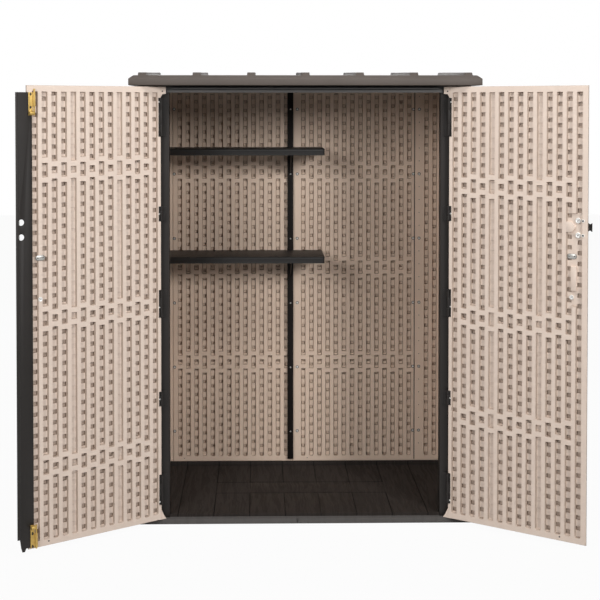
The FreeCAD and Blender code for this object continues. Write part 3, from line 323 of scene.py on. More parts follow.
def zinc_plate(name="zinc_plate", low="A3A29E", high="C6C4BF", metallic=0.85):
    """Bright zinc-plated fittings and screws, spangled and finely brushed."""
    finish = Finish(name)
    spangle = finish.cells(420.0)
    brushed = finish.noise(1.0, detail=3.0, rough=0.6, place=finish.stretched((1100.0, 1100.0, 90.0)))
    colour = finish.mixed(spangle, paint(low), paint(high))
    finish.bump(brushed, distance=0.05 * MM, strength=0.25)
    return finish.done(colour, brushed * 0.2 + 0.22, metallic=metallic)


def nylon_white():
    """White nylon washers, slightly yellowed."""
    finish = Finish("nylon_white")
    cloud = finish.noise(200.0, detail=3.0)
    colour = finish.mixed(cloud, paint("E9E6E0"), paint("F6F4F0"))
    finish.bump(finish.noise(900.0), distance=0.1 * MM, strength=0.2)
    return finish.done(colour, cloud * 0.1 + 0.42)


BEIGE = moulded_beige()
# Painted shade: the walls' beige is a warmer, darker copy of the doors' resin, for the warm shade inside the
# cabinet.
WALL_BEIGE_SHADED = moulded_beige("wall_beige_shaded", "DEC6B2", "E7D0BC")
DARK = moulded_dark()
SHELF_DARK = moulded_dark("shelf_dark", "161413", "211F1E")
ROOF_DARK = moulded_dark("roof_dark", "58514C", "655D58", 0.15)
PLANKS = plank_dark()
BLACK = powder_coat()
# Painted highlight: the header's coat is a paler copy of the charcoal coat, for the light caught by its front lip.
HEADER_HIGHLIGHT_COAT = powder_coat("header_highlight_coat", "4F4E4D", "5E5C5B")
# Painted shade: the post's coat is a darker copy of the charcoal coat, for the shade it stands in under the roof
# and shelves.
POST_SHADED_COAT = powder_coat("post_shaded_coat", "171413", "201C1A", 0.1)
HOLE = moulded_dark("hole_shadow", "0B0A0A", "171514")
BRASS = brass_plate()
ZINC = zinc_plate()
# The screw heads' near-white colour is partly the zinc's own pale tone and partly a painted highlight for their
# glint.
SCREW = zinc_plate("zinc_screw", "E2E0DC", "F4F3F0", 0.5)
ZINC_RIM = moulded_dark("zinc_rim", "6E6A66", "8A8681")
WHITE = nylon_white()
BODY_OF = {name: body for body, names in frame["record"]["behaviour"]["bodies"].items() for name in names}


# Meshes and pieces.
TURN_STEPS = 32
BEVEL_STEPS = 2
# Angles between two faces, in degrees: flat enough to be one, rounded above, and shaded smooth below.
FLAT_BELOW = 1.0
BEVEL_ABOVE = 28
BEVELLED_SMOOTH, TURNED_SMOOTH, HEAD_SMOOTH = 30, 35, 25


def new_object(name, data):
    item = bpy.data.objects.new(name, data)
    bpy.context.scene.collection.objects.link(item)
    return item


def finished(piece, material, body, replaced=()):
    """Give a plain mesh piece its finish, its body and the nodes that it stands for."""
    piece.data.materials.clear()
    piece.data.materials.append(material)
    for node in replaced:
        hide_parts(node)
    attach(piece, body)


def baked(piece):
    """Turn an object with live modifiers into one with a plain mesh."""
    shown = piece.evaluated_get(bpy.context.evaluated_depsgraph_get())
    mesh = bpy.data.meshes.new_from_object(shown)
    piece.modifiers.clear()
    piece.data = mesh


def grown(piece, group, values):
    """Run a node tree on an object, its inputs set by name through their identifiers, and keep the mesh."""
    modifier = piece.modifiers.new(group.name, "NODES")
    modifier.node_group = group
    for item in group.interface.items_tree:
        if item.item_type == "SOCKET" and item.in_out == "INPUT" and item.name in values:
            modifier[item.identifier] = values[item.name]
    baked(piece)


def outward(mesh, merge=0.0):
    """Turn every closed shell's faces outwards, after points nearer than merge are made one."""
    shape = bmesh.new()
    shape.from_mesh(mesh)
    if merge:
        bmesh.ops.remove_doubles(shape, verts=shape.verts, dist=merge)
    bmesh.ops.recalc_face_normals(shape, faces=shape.faces)
    shape.to_mesh(mesh)
    shape.free()


def smooth_by_angle(mesh, degrees):
    """Smooth shading, with edges sharper than the angle kept crisp."""
    mesh.polygons.foreach_set("use_smooth", [True] * len(mesh.polygons))
    mesh.set_sharp_from_angle(angle=math.radians(degrees))


def rounded(piece, width):
    """Round the piece's sharp edges."""
    bevel = piece.modifiers.new("edges", "BEVEL")
    bevel.width = width
    bevel.segments = BEVEL_STEPS
    bevel.limit_method = "ANGLE"
    bevel.angle_limit = math.radians(BEVEL_ABOVE)
    baked(piece)
    smooth_by_angle(piece.data, BEVELLED_SMOOTH)


def softened(node, material, width):
    """A copy of a node's solid with its edges rounded a little, standing for the node."""
    mesh = NODES[node].data.copy()
    shape = bmesh.new()
    shape.from_mesh(mesh)
    bmesh.ops.remove_doubles(shape, verts=shape.verts, dist=2 * TINY)
    bmesh.ops.dissolve_limit(shape, angle_limit=math.radians(FLAT_BELOW), verts=shape.verts,
                             edges=shape.edges)
    shape.to_mesh(mesh)
    shape.free()
    piece = new_object(node + "_dressed", mesh)
    rounded(piece, width)
    finished(piece, material, BODY_OF[node], [node])


# Embossed panels: a flat sheet of cells whose points a node tree sinks into grooves and pits.
# A recess whose right edge isn't right of its left one is left out.
EMBOSS_SIZES = {
    "First column": 29 * MM, "Column pitch": 40.5 * MM, "Groove width": 24 * MM, "Groove depth": 9 * MM,
    "Groove bottom": 43 * MM, "Groove top": 1791 * MM, "Wall slope": 3.2 * MM, "Bar height": 20 * MM,
    "Low band": 328.5 * MM, "Middle band": 909.5 * MM, "High band": 1487 * MM,
    "Pit pitch": 41.5 * MM, "Pit phase": 0.0, "Pit height": 17 * MM, "Pit depth": 6.5 * MM,
    "Pit slope": 1.0 * MM, "Pit ledge": 0.4 * MM, "Pit shade": 0.4, "Floor shade": 0.05, "Flank shade": 0.85,
    "Recess left": 0.0, "Recess right": -1.0, "Recess bottom": 0.0, "Recess top": -1.0,
    "Line pitch": 128 * MM, "Line first": 98 * MM, "Line width": 6 * MM, "Line depth": 2.5 * MM,
    "Left": -1.0, "Right": 1.0, "Rear right": 1.0, "Low": 0.0, "High": 2.0, "Edge radius": 2 * MM,
}
BANDS = ("Low band", "Middle band", "High band")


def new_tree(name, sizes, materials):
    """An empty node tree with named sizes and materials, and a wire from each of its inputs."""
    group = bpy.data.node_groups.new(name, "GeometryNodeTree")
    group.interface.new_socket("Geometry", in_out="INPUT", socket_type="NodeSocketGeometry")
    for label, start in sizes.items():
        socket = group.interface.new_socket(label, in_out="INPUT", socket_type="NodeSocketFloat")
        socket.default_value = start
    for label in materials:
        group.interface.new_socket(label, in_out="INPUT", socket_type="NodeSocketMaterial")
    group.interface.new_socket("Geometry", in_out="OUTPUT", socket_type="NodeSocketGeometry")
    entry = made(group, "NodeGroupInput").socket.node
    return group, {label: Wire(group, entry.outputs[label]) for label in ("Geometry", *sizes, *materials)}


def stored(group, geometry, name, domain, item):
    return made(group, "GeometryNodeStoreNamedAttribute", {"data_type": "FLOAT", "domain": domain},
                {"Geometry": geometry, "Name": name, "Value": item})


def dressed(group, geometry, material, chosen=True):
    return made(group, "GeometryNodeSetMaterial", sockets={
        "Geometry": geometry, "Material": material, "Selection": chosen})


def emboss_tree():
    """Sinks each point of a flat panel by a rule: columns, bands of bars and slots, staggered pits. It also stores
    painted shade for the pits, groove floors and groove walls.
    """
    group, size = new_tree("embossed_panel", EMBOSS_SIZES, ["Material"])

    def named(name):
        return made(group, "GeometryNodeInputNamedAttribute", {"data_type": "FLOAT"}, {"Name": name})

    across, out, up = parts_of(group, made(group, "GeometryNodeInputPosition"))
    column = ((across - size["First column"]) / size["Column pitch"] + 0.5).floor()
    from_middle = (across - size["First column"] - column * size["Column pitch"]).size()
    half = size["Groove width"] * 0.5
    below = (size["Groove bottom"] + half - up).at_least(0.0)
    side_room = half - (from_middle * from_middle + below * below).root()
    end_room = (up - size["Groove bottom"]).at_most(size["Groove top"] - up)
    slot = named("slot")
    bar_room = None
    for band in BANDS:
        to_bar = ((up - size[band]).size() - slot * 0.5 - size["Bar height"] * 0.5).size()
        room = to_bar - size["Bar height"] * 0.5
        bar_room = bar_room.at_most(room) if bar_room else room
    plain = 1.0 - slot.above(TINY)
    bar_room = bar_room + plain * NO_LIMIT
    groove_room = side_room.at_most(end_room).at_most(bar_room)
    groove = (groove_room / size["Wall slope"]).clamped() * named("column")
    recess_side = (across - size["Recess left"]).at_most(size["Recess right"] - across)
    recess_end = (up - size["Recess bottom"]).at_most(size["Recess top"] - up)
    recess = (recess_side.at_most(recess_end) / size["Wall slope"]).clamped()
    sunken = groove.at_least(recess)
    pit_step = up / size["Pit pitch"] + size["Pit phase"] + named("stagger") * 0.5
    to_pit = ((pit_step.fraction() - 0.5) * size["Pit pitch"]).size()
    tall_room = size["Pit height"] * 0.5 - to_pit
    wide_room = half - from_middle - size["Wall slope"] - size["Pit ledge"]
    corner_room = tall_room + wide_room - size["Pit slope"]
    pit_room = tall_room.at_most(wide_room).at_most(corner_room)
    pit = (pit_room / size["Pit slope"]).clamped() * named("pits") * sunken
    sink = sunken * size["Groove depth"] + pit * size["Pit depth"]
    line = ((across - size["Line first"]) / size["Line pitch"] + 0.5).floor()
    to_line = (across - size["Line first"] - line * size["Line pitch"]).size()
    line_room = (size["Line width"] * 0.5 - to_line).at_most(end_room)
    line_sink = (line_room / size["Line depth"]).clamped() * size["Line depth"]
    ends = (up - size["Low"]).at_most(size["High"] - up)

    def rounding(right):
        room = (across - size["Left"]).at_most(right - across).at_most(ends)
        turn = 1.0 - (room / size["Edge radius"]).clamped()
        return size["Edge radius"] * (1.0 - (1.0 - turn * turn).root())

    facing = named("facing")
    inner = facing.above(0.5)
    outer = (facing * -1.0).above(0.5)
    shift = outer * (line_sink + rounding(size["Rear right"])) - inner * (sink + rounding(size["Right"]))
    # Painted shade on the inner face: pits and sunken groove floors, stored as hollow for the material to darken.
    shade = inner * (pit * size["Pit shade"] + sunken * size["Floor shade"])
    marked = stored(group, size["Geometry"], "hollow", "POINT", shade)
    moved = made(group, "GeometryNodeSetPosition", sockets={
        "Geometry": marked, "Offset": vector_of(group, 0.0, shift, 0.0)})
    # Painted shade on groove walls: faces are darkened by how far they turn from the panel's face, stored as
    # flank.
    facing_out = parts_of(group, made(group, "GeometryNodeInputNormal"))[1].size()
    flank = stored(group, moved, "flank", "FACE", (1.0 - facing_out) * size["Flank shade"] * inner)
    whole = made(group, "GeometryNodeRealizeInstances", sockets={"Geometry": flank})
    made(group, "NodeGroupOutput", sockets={"Geometry": dressed(group, whole, size["Material"])})
    return group


EMBOSS = emboss_tree()


# How near a grid line may come to an end or to the line before it.
END_ROOM, LINE_ROOM = 0.3 * MM, 0.25 * MM
# Where grid lines follow a rounded edge and a groove's round foot, as shares of the radius.
EDGE_STEPS = (0.12, 0.4, 1.0)
ARC_STEPS = (0.0, 0.07, 0.2, 0.4, 0.7, 1.0)
# How many of the outer face's lines may lie left of its first one.
LINES_BEFORE = 20


def spread_lines(values, low, high):
    """Sorted grid lines between two ends, with lines that fall together merged."""
    lines = [low]
    for item in sorted(values):
        if low + END_ROOM < item < high - END_ROOM and item - lines[-1] > LINE_ROOM:
            lines.append(item)
    return lines + [high]


def edge_lines(left, right, radius):
    """Grid lines that follow a rounded edge at both ends."""
    steps = [step * radius for step in EDGE_STEPS]
    return [left + step for step in steps] + [right - step for step in steps]


def either_side(middle, rooms):
    """Grid lines at the same distances to both sides of a middle."""
    return [middle + side * room for room in rooms for side in (-1, 1)]


def flank_lines(low, high, slope):
    """Grid lines at the foot and the top of a hollow's two sloping sides."""
    return [low, low + slope, high - slope, high]


def embossed_panel(name, width, height, thickness, columns, sizes, place, body, replaced, material,
                   taper=(0.0, 0.0)):
    """One double-wall panel. columns holds each column's slot between two bars, and the depth of its pits.
    place turns the panel's own axes, across, out of the inner face and up, into the cabinet's. taper holds
    the lip and the inset of a slanted right edge."""
    left, right = width
    low, high = height
    lip, inset = taper
    sizes = {"Left": left, "Right": right, "Rear right": right - inset, "Low": low, "High": high, **sizes}
    size = {**EMBOSS_SIZES, **sizes}
    slope, pit_slope, radius = size["Wall slope"], size["Pit slope"], size["Edge radius"]
    half = size["Groove width"] / 2
    floor_half = half - slope
    pit_half = floor_half - size["Pit ledge"]
    across = edge_lines(size["Left"], right, radius)
    for index in range(len(columns)):
        across += either_side(size["First column"] + size["Column pitch"] * index,
                              (half, floor_half, pit_half, pit_half - pit_slope))
    up = edge_lines(low, high, radius)
    up += [size["Groove bottom"] + half * step for step in ARC_STEPS]
    up += [size["Groove top"] - slope, size["Groove top"]]
    if size["Recess right"] > size["Recess left"]:
        across += flank_lines(size["Recess left"], size["Recess right"], slope)
        up += flank_lines(size["Recess bottom"], size["Recess top"], slope)
    for slot in {slot for slot, pits in columns if slot}:
        for band in BANDS:
            for side in (-1, 1):
                near = size[band] + side * slot / 2
                far = near + side * size["Bar height"]
                up += [near, near - side * slope, far, far + side * slope]
    pitch = size["Pit pitch"]
    for step in range(2 * int(low / pitch) - 1, 2 * int(high / pitch) + 4):
        up += either_side((step / 2 - size["Pit phase"]) * pitch,
                          (size["Pit height"] / 2, size["Pit height"] / 2 - pit_slope))
    across = spread_lines(across, left, right)
    up = spread_lines(up, low, high)
    outer = edge_lines(left, right - inset, radius)
    line = size["Line first"] - LINES_BEFORE * size["Line pitch"]
    while line < right:
        outer += either_side(line, (size["Line width"] / 2, size["Line width"] / 2 - size["Line depth"]))
        line += size["Line pitch"]
    outer = spread_lines(outer, left, right - inset)
    outer_up = flank_lines(size["Groove bottom"], size["Groove top"], size["Line depth"])
    outer_up = spread_lines(edge_lines(low, high, radius) + outer_up, low, high)
    points, faces, marks = [], [], {"slot": [], "pits": [], "column": [], "stagger": [], "facing": []}

    def point(x, y, z, facing):
        index = round((x - size["First column"]) / size["Column pitch"])
        known = 0 <= index < len(columns)
        slot, pits = columns[index] if known else (0.0, 0.0)
        for key, mark in (("slot", slot), ("pits", pits), ("column", float(known)),
                          ("stagger", float(index % 2)), ("facing", facing)):
            marks[key].append(mark)
        points.append((x, y, z))
        return len(points) - 1

    def sheet(xs, zs, y, facing):
        grid = [[point(x, y, z, facing) for x in xs] for z in zs]
        for row in range(len(zs) - 1):
            for col in range(len(xs) - 1):
                faces.append((grid[row][col], grid[row][col + 1], grid[row + 1][col + 1], grid[row + 1][col]))
        return grid[0], grid[-1], [line[0] for line in grid], [line[-1] for line in grid]

    front = sheet(across, up, 0.0, 1.0)
    rear = sheet(outer, outer_up, -thickness, -1.0)
    lips = [[point(right, -lip, low, 0.0)], [point(right, -lip, high, 0.0)]] if lip else [[], []]
    faces.append(front[0] + lips[0] + rear[0][::-1])
    faces.append(front[1] + lips[1] + rear[1][::-1])
    faces.append(front[2] + rear[2][::-1])
    if lip:
        faces.append(front[3] + lips[1] + lips[0])
        faces.append(lips[0] + lips[1] + rear[3][::-1])
    else:
        faces.append(front[3] + rear[3][::-1])
    mesh = bpy.data.meshes.new(name)
    mesh.from_pydata(points, [], faces)
    for key, numbers in marks.items():
        mesh.attributes.new(key, "FLOAT", "POINT").data.foreach_set("value", numbers)
    piece = new_object(name, mesh)
    grown(piece, EMBOSS, {"Material": material, **sizes})
    mesh = piece.data
    for key in marks:
        if key in mesh.attributes:
            mesh.attributes.remove(mesh.attributes[key])
    mesh.transform(place)
    outward(mesh)
    finished(piece, material, body, replaced)


def prisms(name, items, place, material, body, bevel=0.0, replaced=()):
    """Closed prisms as one piece. Each item is an outline, its two ends and the axis it follows, y or z."""
    points, faces = [], []
    for outline, near, far, axis in items:
        start, count = len(points), len(outline)
        for end in (near, far):
            points += [(a, end, b) if axis == "y" else (a, b, end) for a, b in outline]
        ring = list(range(start, start + count))
        faces += [ring, [index + count for index in ring]]
        for index in range(count):
            following = (index + 1) % count
            faces.append((ring[index], ring[following], ring[following] + count, ring[index] + count))
    mesh = bpy.data.meshes.new(name)
    mesh.from_pydata(points, [], faces)
    mesh.transform(place)
    outward(mesh)
    piece = new_object(name, mesh)
    if bevel:
        rounded(piece, bevel)
    finished(piece, material, body, replaced)


def spun(name, items, material, body, replaced):
    """Turned forms as one piece. Each item is a closed profile of (radius, height) and its place."""
    points, faces = [], []
    for profile, place in items:
        start, count = len(points), len(profile)
        for step in range(TURN_STEPS):
            turn = 2 * math.pi * step / TURN_STEPS
            points += [tuple(place @ Vector((r * math.cos(turn), r * math.sin(turn), h))) for r, h in profile]
        for step in range(TURN_STEPS):
            one, two = start + step * count, start + (step + 1) % TURN_STEPS * count
            for index in range(count):
                after = (index + 1) % count
                if profile[index][0] > TINY or profile[after][0] > TINY:
                    faces.append((one + index, one + after, two + after, two + index))
    mesh = bpy.data.meshes.new(name)
    mesh.from_pydata(points, [], faces)
    outward(mesh, merge=TINY)
    smooth_by_angle(mesh, TURNED_SMOOTH)
    finished(new_object(name, mesh), material, body, replaced)


# Fasteners: a node tree puts one head on each point of a mesh.
FASTENER_SIZES = {"Head radius": 5 * MM, "Crown radius": 3.6 * MM, "Head height": 2 * MM,
                  "Socket radius": 2 * MM, "Socket height": 0.3 * MM, "Shadow ring radius": 1 * MM}
HEAD_SIDES, SOCKET_SIDES = 16, 10


def fastener_tree():
    """A low turned head on every point, facing out of the panel, with a dark socket and a dark rim disc round its
    foot, a painted shadow ring.
    """
    group, size = new_tree("fastener_rows", FASTENER_SIZES, ["Head", "Socket"])
    head = made(group, "GeometryNodeMeshCone", sockets={
        "Vertices": HEAD_SIDES, "Radius Top": size["Crown radius"], "Radius Bottom": size["Head radius"],
        "Depth": size["Head height"]})
    socket = made(group, "GeometryNodeMeshCylinder", sockets={
        "Vertices": SOCKET_SIDES, "Radius": size["Socket radius"], "Depth": size["Socket height"]})
    raised = made(group, "GeometryNodeTransform", sockets={
        "Geometry": socket, "Translation": vector_of(group, 0.0, 0.0, size["Head height"])})
    # A dark disc under the head: where it is wider than the head, it is a painted shadow ring.
    rim = made(group, "GeometryNodeMeshCylinder", sockets={
        "Vertices": HEAD_SIDES, "Radius": size["Shadow ring radius"], "Depth": size["Socket height"]})
    joined = made(group, "GeometryNodeJoinGeometry", sockets={0: head})
    for dark in (raised, rim):
        plug(group, stored(group, dark, "in_socket_or_shadow_ring", "FACE", 1.0), joined.socket.node.inputs[0])
    turned = made(group, "GeometryNodeTransform", sockets={
        "Geometry": joined, "Rotation": (-math.pi / 2, 0.0, 0.0)})
    placed = made(group, "GeometryNodeInstanceOnPoints", sockets={
        "Points": size["Geometry"], "Instance": turned})
    whole = made(group, "GeometryNodeRealizeInstances", sockets={"Geometry": placed})
    chosen = made(group, "GeometryNodeInputNamedAttribute", {"data_type": "FLOAT"}, {"Name": "in_socket_or_shadow_ring"})
    plated = dressed(group, whole, size["Head"])
    both = dressed(group, plated, size["Socket"], chosen.above(0.5))
    made(group, "NodeGroupOutput", sockets={"Geometry": both})
    return group


FASTENER = fastener_tree()


def fasteners(name, spots, place, body, material, sizes):
    """Heads at spots (across, out, up) on a panel."""
    mesh = bpy.data.meshes.new(name)
    mesh.from_pydata(spots, [], [])
    piece = new_object(name, mesh)
    grown(piece, FASTENER, {"Head": material, "Socket": HOLE, **sizes})
    piece.data.transform(place)
    outward(piece.data)
    smooth_by_angle(piece.data, HEAD_SMOOTH)
    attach(piece, body)


def door_place(sign):
    """Matrix from a door's own axes to its open place; sign is -1 on the left."""
    axis = JOINTS["door_left_swing" if sign < 0 else "door_right_swing"]["pos_m"]
    turn = Matrix.Rotation(sign * OPEN_ANGLE, 4, "Z")
    mirror = Matrix.Diagonal((-sign, 1.0, 1.0, 1.0))
    return Matrix.Translation((axis[0], axis[1], 0.0)) @ turn @ mirror


# A column of grooves: the slot between two bars, or none, and how deep its pits are pressed.
PLAIN, SHORT, LONG = 0.0, 27 * MM, 56.6 * MM
DEEP, SMOOTH = 1.0, 0.14
SMOOTH_COLUMNS = (5, 10)
COLUMNS = [(PLAIN, DEEP)] + [
    (LONG if index % 2 else SHORT, SMOOTH if index in SMOOTH_COLUMNS else DEEP) for index in range(2, 14)
] + [(PLAIN, DEEP)]
RIGHT_COLUMNS = COLUMNS[:12] + [(LONG, DEEP), (PLAIN, DEEP)]
RIGHT_BANDS = {"Low band": 454 * MM, "Middle band": 869 * MM, "High band": 1408 * MM,
               "Recess left": 504 * MM, "Recess right": 568 * MM, "Recess bottom": 953 * MM,
               "Recess top": 1318 * MM}

# Section of the strip between two hinge notches, and the ears at a door's two ends, from that end up.
STRIP = [(DOOR_EDGE, 0.0), (DOOR_NEAR + 2 * MM, 0.0), (DOOR_NEAR + 0.5 * MM, -0.7 * MM), (DOOR_NEAR, -2 * MM),
         (DOOR_NEAR, HEEL - DOOR_THICKNESS), (DOOR_EDGE, -DOOR_THICKNESS)]
EAR_THICKNESS = 6 * MM
LOW_EAR = [(-20.5 * MM, 0.0), (DOOR_NEAR, 0.0), (DOOR_NEAR, 40 * MM), (-11 * MM, 14 * MM)]
HIGH_EAR = [(-22.5 * MM, 0.0), (DOOR_NEAR, 0.0), (DOOR_NEAR, -43 * MM), (-5.6 * MM, -31 * MM),
            (-22.5 * MM, -29 * MM)]
# A door's hinge side isn't rounded: the panel's edge counts as this far off.
NO_ROUNDING = 1.0


def build_door(side, sign, columns, sizes):
    """A door panel, the strips between its hinge notches and its pivot ears."""
    place = door_place(sign)
    embossed_panel("door_%s_panel" % side, (DOOR_EDGE, DOOR_LENGTH), (DOOR_LOW, DOOR_HIGH), DOOR_THICKNESS,
                   columns, {"Left": DOOR_EDGE - NO_ROUNDING, **sizes}, place, side + "_door",
                   ["door_" + side], BEIGE, (FREE_EDGE_LIP, FREE_EDGE_TAPER))
    ends = [DOOR_LOW]
    for low, high in HINGE_SPANS:
        ends += [(low - HINGE_ROOM) * MM, (high + HINGE_ROOM) * MM]
    ends.append(DOOR_HIGH)
    pieces = [(STRIP, ends[index], ends[index + 1], "z") for index in range(0, len(ends), 2)]
    for end, ear in ((DOOR_LOW, LOW_EAR), (DOOR_HIGH, HIGH_EAR)):
        pieces.append(([(across, end + up) for across, up in ear], -EAR_THICKNESS, 0.0, "y"))
    prisms("door_%s_edge" % side, pieces, place, BEIGE, side + "_door")
    return place


def rectangle(left, low, right, high):
    return [(left, low), (right, low), (right, high), (left, high)]


LEFT_PLACE = build_door("left", -1, COLUMNS, {})
RIGHT_PLACE = build_door("right", 1, RIGHT_COLUMNS, RIGHT_BANDS)
ISLAND = [(501 * MM, 1242 * MM), (525 * MM, 1242 * MM), (540 * MM, 1263 * MM), (525 * MM, 1284 * MM),
          (501 * MM, 1284 * MM)]
LATCH_BLOCK = rectangle(522 * MM, 1014 * MM, 545 * MM, 1110 * MM)
ISLAND_FOOT, ISLAND_TOP = -9.5 * MM, -0.1 * MM
prisms("latch_islands", [(outline, ISLAND_FOOT, ISLAND_TOP, "y") for outline in (ISLAND, LATCH_BLOCK)],
       RIGHT_PLACE, BEIGE, "right_door", 1.2 * MM)

# Walls.
WALL_SIZES = {"Column pitch": 38.6 * MM, "Groove width": 21 * MM, "Groove depth": 7 * MM,
              "Wall slope": 2.2 * MM, "Groove bottom": 75 * MM, "Groove top": 1795 * MM,
              "Bar height": 19 * MM, "Low band": 525 * MM, "Middle band": 974 * MM, "High band": 1425 * MM,
              "Pit pitch": 40.8 * MM, "Pit phase": 0.45, "Pit height": 15 * MM, "Pit depth": 7.5 * MM,
              "Pit slope": 2.2 * MM, "Pit ledge": 0.6 * MM, "Pit shade": 0.1, "Floor shade": 0.05,
              "Flank shade": 0.9, "Edge radius": 4 * MM}
WALL_LONG, WALL_SHORT = 62 * MM, 24 * MM
REAR_COLUMNS = [(WALL_LONG if index % 2 else WALL_SHORT, DEEP) for index in range(14)]
REAR_HALF = (len(REAR_COLUMNS) - 1) / 2 * WALL_SIZES["Column pitch"]
SIDE_COLUMNS = [(PLAIN, DEEP)] * 15
HALF_LINE = EMBOSS_SIZES["Line pitch"] / 2
BACK_PLACE = Matrix(((1, 0, 0, 0), (0, -1, 0, BACK_Y), (0, 0, 1, 0), (0, 0, 0, 1)))
for label, first, columns in (("wall_back_left", -313 * MM - REAR_HALF, REAR_COLUMNS),
                              ("wall_back_right", 269.5 * MM - REAR_HALF, REAR_COLUMNS),
                              ("corner_left", -640 * MM, [(PLAIN, DEEP)]),
                              ("corner_right", 602 * MM, [(PLAIN, DEEP)] * 2)):
    low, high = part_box(label)
    embossed_panel(label + "_panel", (low.x, high.x), (PANEL_LOW, PANEL_HIGH), WALL_THICKNESS, columns,
                   {**WALL_SIZES, "First column": first, "Line first": (low.x + high.x) / 2 + HALF_LINE},
                   BACK_PLACE, "cabinet", [label], WALL_BEIGE_SHADED)
for sign, label in ((-1, "wall_left"), (1, "wall_right")):
    low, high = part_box(label)
    place = Matrix(((0, -sign, 0, sign * WALL_X), (1, 0, 0, 0), (0, 0, 1, 0), (0, 0, 0, 1)))
    embossed_panel(label + "_panel", (low.y, high.y), (PANEL_LOW, PANEL_HIGH), WALL_THICKNESS, SIDE_COLUMNS,
                   {**WALL_SIZES, "First column": -262 * MM, "Line first": 0.0}, place, "cabinet", [label],
                   WALL_BEIGE_SHADED)


def head_sizes(radius, crown, height=2, socket=2, rim=1):
    """A head's sizes, given in millimetres. A small hole is a flat head in a dark finish, a painted shadow, and a
    rim wider than the head is a painted shadow ring round it.
    """
    return {"Head radius": radius * MM, "Crown radius": crown * MM, "Head height": height * MM,
            "Socket radius": socket * MM, "Shadow ring radius": rim * MM}


# Painted shadow: the wall screws' dark rim, wider than their heads, rings each head.
WALL_SCREW = head_sizes(4.8, 4, socket=0.5, rim=7.2)
POST_SCREW = head_sizes(3.4, 2.4, socket=1)
LEAF_SCREW = head_sizes(3.2, 2.6, height=1, socket=1)
HASP_SCREW = head_sizes(5, 4.2, height=1.2, socket=2.2)
PLATE_SCREW = head_sizes(4.8, 4.5, height=1.2)
WALL_HOLE = head_sizes(2, 2, height=0.2, socket=1)
DOOR_HOLE = head_sizes(3.2, 3.2, height=0.2)
RING_HOLE = head_sizes(3.8, 3.8, height=0.2)

# Rows of screws down the rear panels and the post, and small holes down the corner board, where every
# fifth place is a screw's.
SCREW_ROWS = [(1721 - 305 * step) * MM for step in range(6)]
SCREWS_ACROSS = (-590 * MM, -9.8 * MM, 539 * MM, 567 * MM)
POST_ACROSS, POST_OUT = -42 * MM, BACK_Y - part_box("back_post")[0].y
WALL_HOLES = [(567 * MM, 0.0, (1782 - 61 * step) * MM) for step in range(28) if step % 5 != 1]
WALL_HOLES += [(-544.6 * MM, 0.0, 67 * MM), (37.9 * MM, 0.0, 67 * MM)]
fasteners("wall_screws", [(x, 0.0, z) for z in SCREW_ROWS for x in SCREWS_ACROSS], BACK_PLACE, "cabinet",
          SCREW, WALL_SCREW)
fasteners("post_screws", [(POST_ACROSS, POST_OUT, z) for z in SCREW_ROWS], BACK_PLACE, "cabinet", SCREW,
          POST_SCREW)
fasteners("wall_holes", WALL_HOLES, BACK_PLACE, "cabinet", HOLE, WALL_HOLE)

# Screws and holes of the hinge leaves, the corner holes of the doors, and the latch's and the bolts' screws.
LATCH_ROWS, LATCH_ACROSS, RING_ACROSS = (1232 * MM, 1289 * MM), 549.3 * MM, 571.5 * MM
LEAF_ACROSS, EAR_ACROSS, EAR_HOLE = 10 * MM, -6 * MM, 1796 * MM
LEAF_SCREWS = [(LEAF_ACROSS, 0.0, z * MM) for z in (1752, 1291, 905, 524, 97)]
LEAF_HOLES = [(LEAF_ACROSS, 0.0, z * MM) for z in (1703, 1640, 948, 886, 193, 130)]
for side, place, corner in (("left", LEFT_PLACE, (506 * MM, 0.0, 38.4 * MM)),
                            ("right", RIGHT_PLACE, (483 * MM, 0.0, 37.5 * MM))):
    fasteners("leaf_screws_" + side, LEAF_SCREWS, place, side + "_door", SCREW, LEAF_SCREW)
    fasteners("door_holes_" + side, LEAF_HOLES + [corner, (EAR_ACROSS, 0.0, EAR_HOLE)], place,
              side + "_door", HOLE, DOOR_HOLE)
fasteners("ring_holes", [(RING_ACROSS, 1.9 * MM, z) for z in LATCH_ROWS], RIGHT_PLACE, "right_door", HOLE,
          RING_HOLE)
fasteners("plate_screws", [(575 * MM, 3.4 * MM, z * MM) for z in (1780.5, 1730.5, 81.5, 31.5)], LEFT_PLACE,
          "left_door", HOLE, PLATE_SCREW)

# Hasp plates, and the round bolt heads above and below them, on the right in the latch's recess.
RECESS_FLOOR = -9 * MM
HASP = 1148 * MM
LOWER_HEAD = 987.5 * MM
HASP_ACROSS = {"left": 536.5 * MM, "right": 524.5 * MM}
HASP_REACH = 11 * MM
PLATE_HEIGHT, RIM_HEIGHT = 2.4 * MM, 1.9 * MM
PLATE_EDGE = 0.4 * MM
PLATE_ARC = 8
for side, place, out in (("left", LEFT_PLACE, 0.0), ("right", RIGHT_PLACE, RECESS_FLOOR)):
    fasteners("hasp_screws_" + side,
              [(HASP_ACROSS[side] + turn * HASP_REACH, out + PLATE_HEIGHT, HASP) for turn in (-1, 1)], place,
              side + "_door", ZINC, HASP_SCREW)

# A dished bolt head's profile, as radius and height, and the slot across it as shares of its radius.
HEAD_PROFILE = [(0.0, 3.2), (6.2, 3.3), (7.4, 4.7), (9.4, 5.0), (10.6, 4.6), (11.0, 3.4), (11.0, 0.0),
                (0.0, 0.0)]
PROFILE_RADIUS, PROFILE_HEIGHT = 11.0, 5.0
SLOT_HALF, SLOT_SLANT, SLOT_THIN, SLOT_LEVEL = 0.55, 0.75, 0.09, 0.7
SLOT_DEPTH = 1 * MM
TO_OUT = Matrix.Rotation(-math.pi / 2, 4, "X")


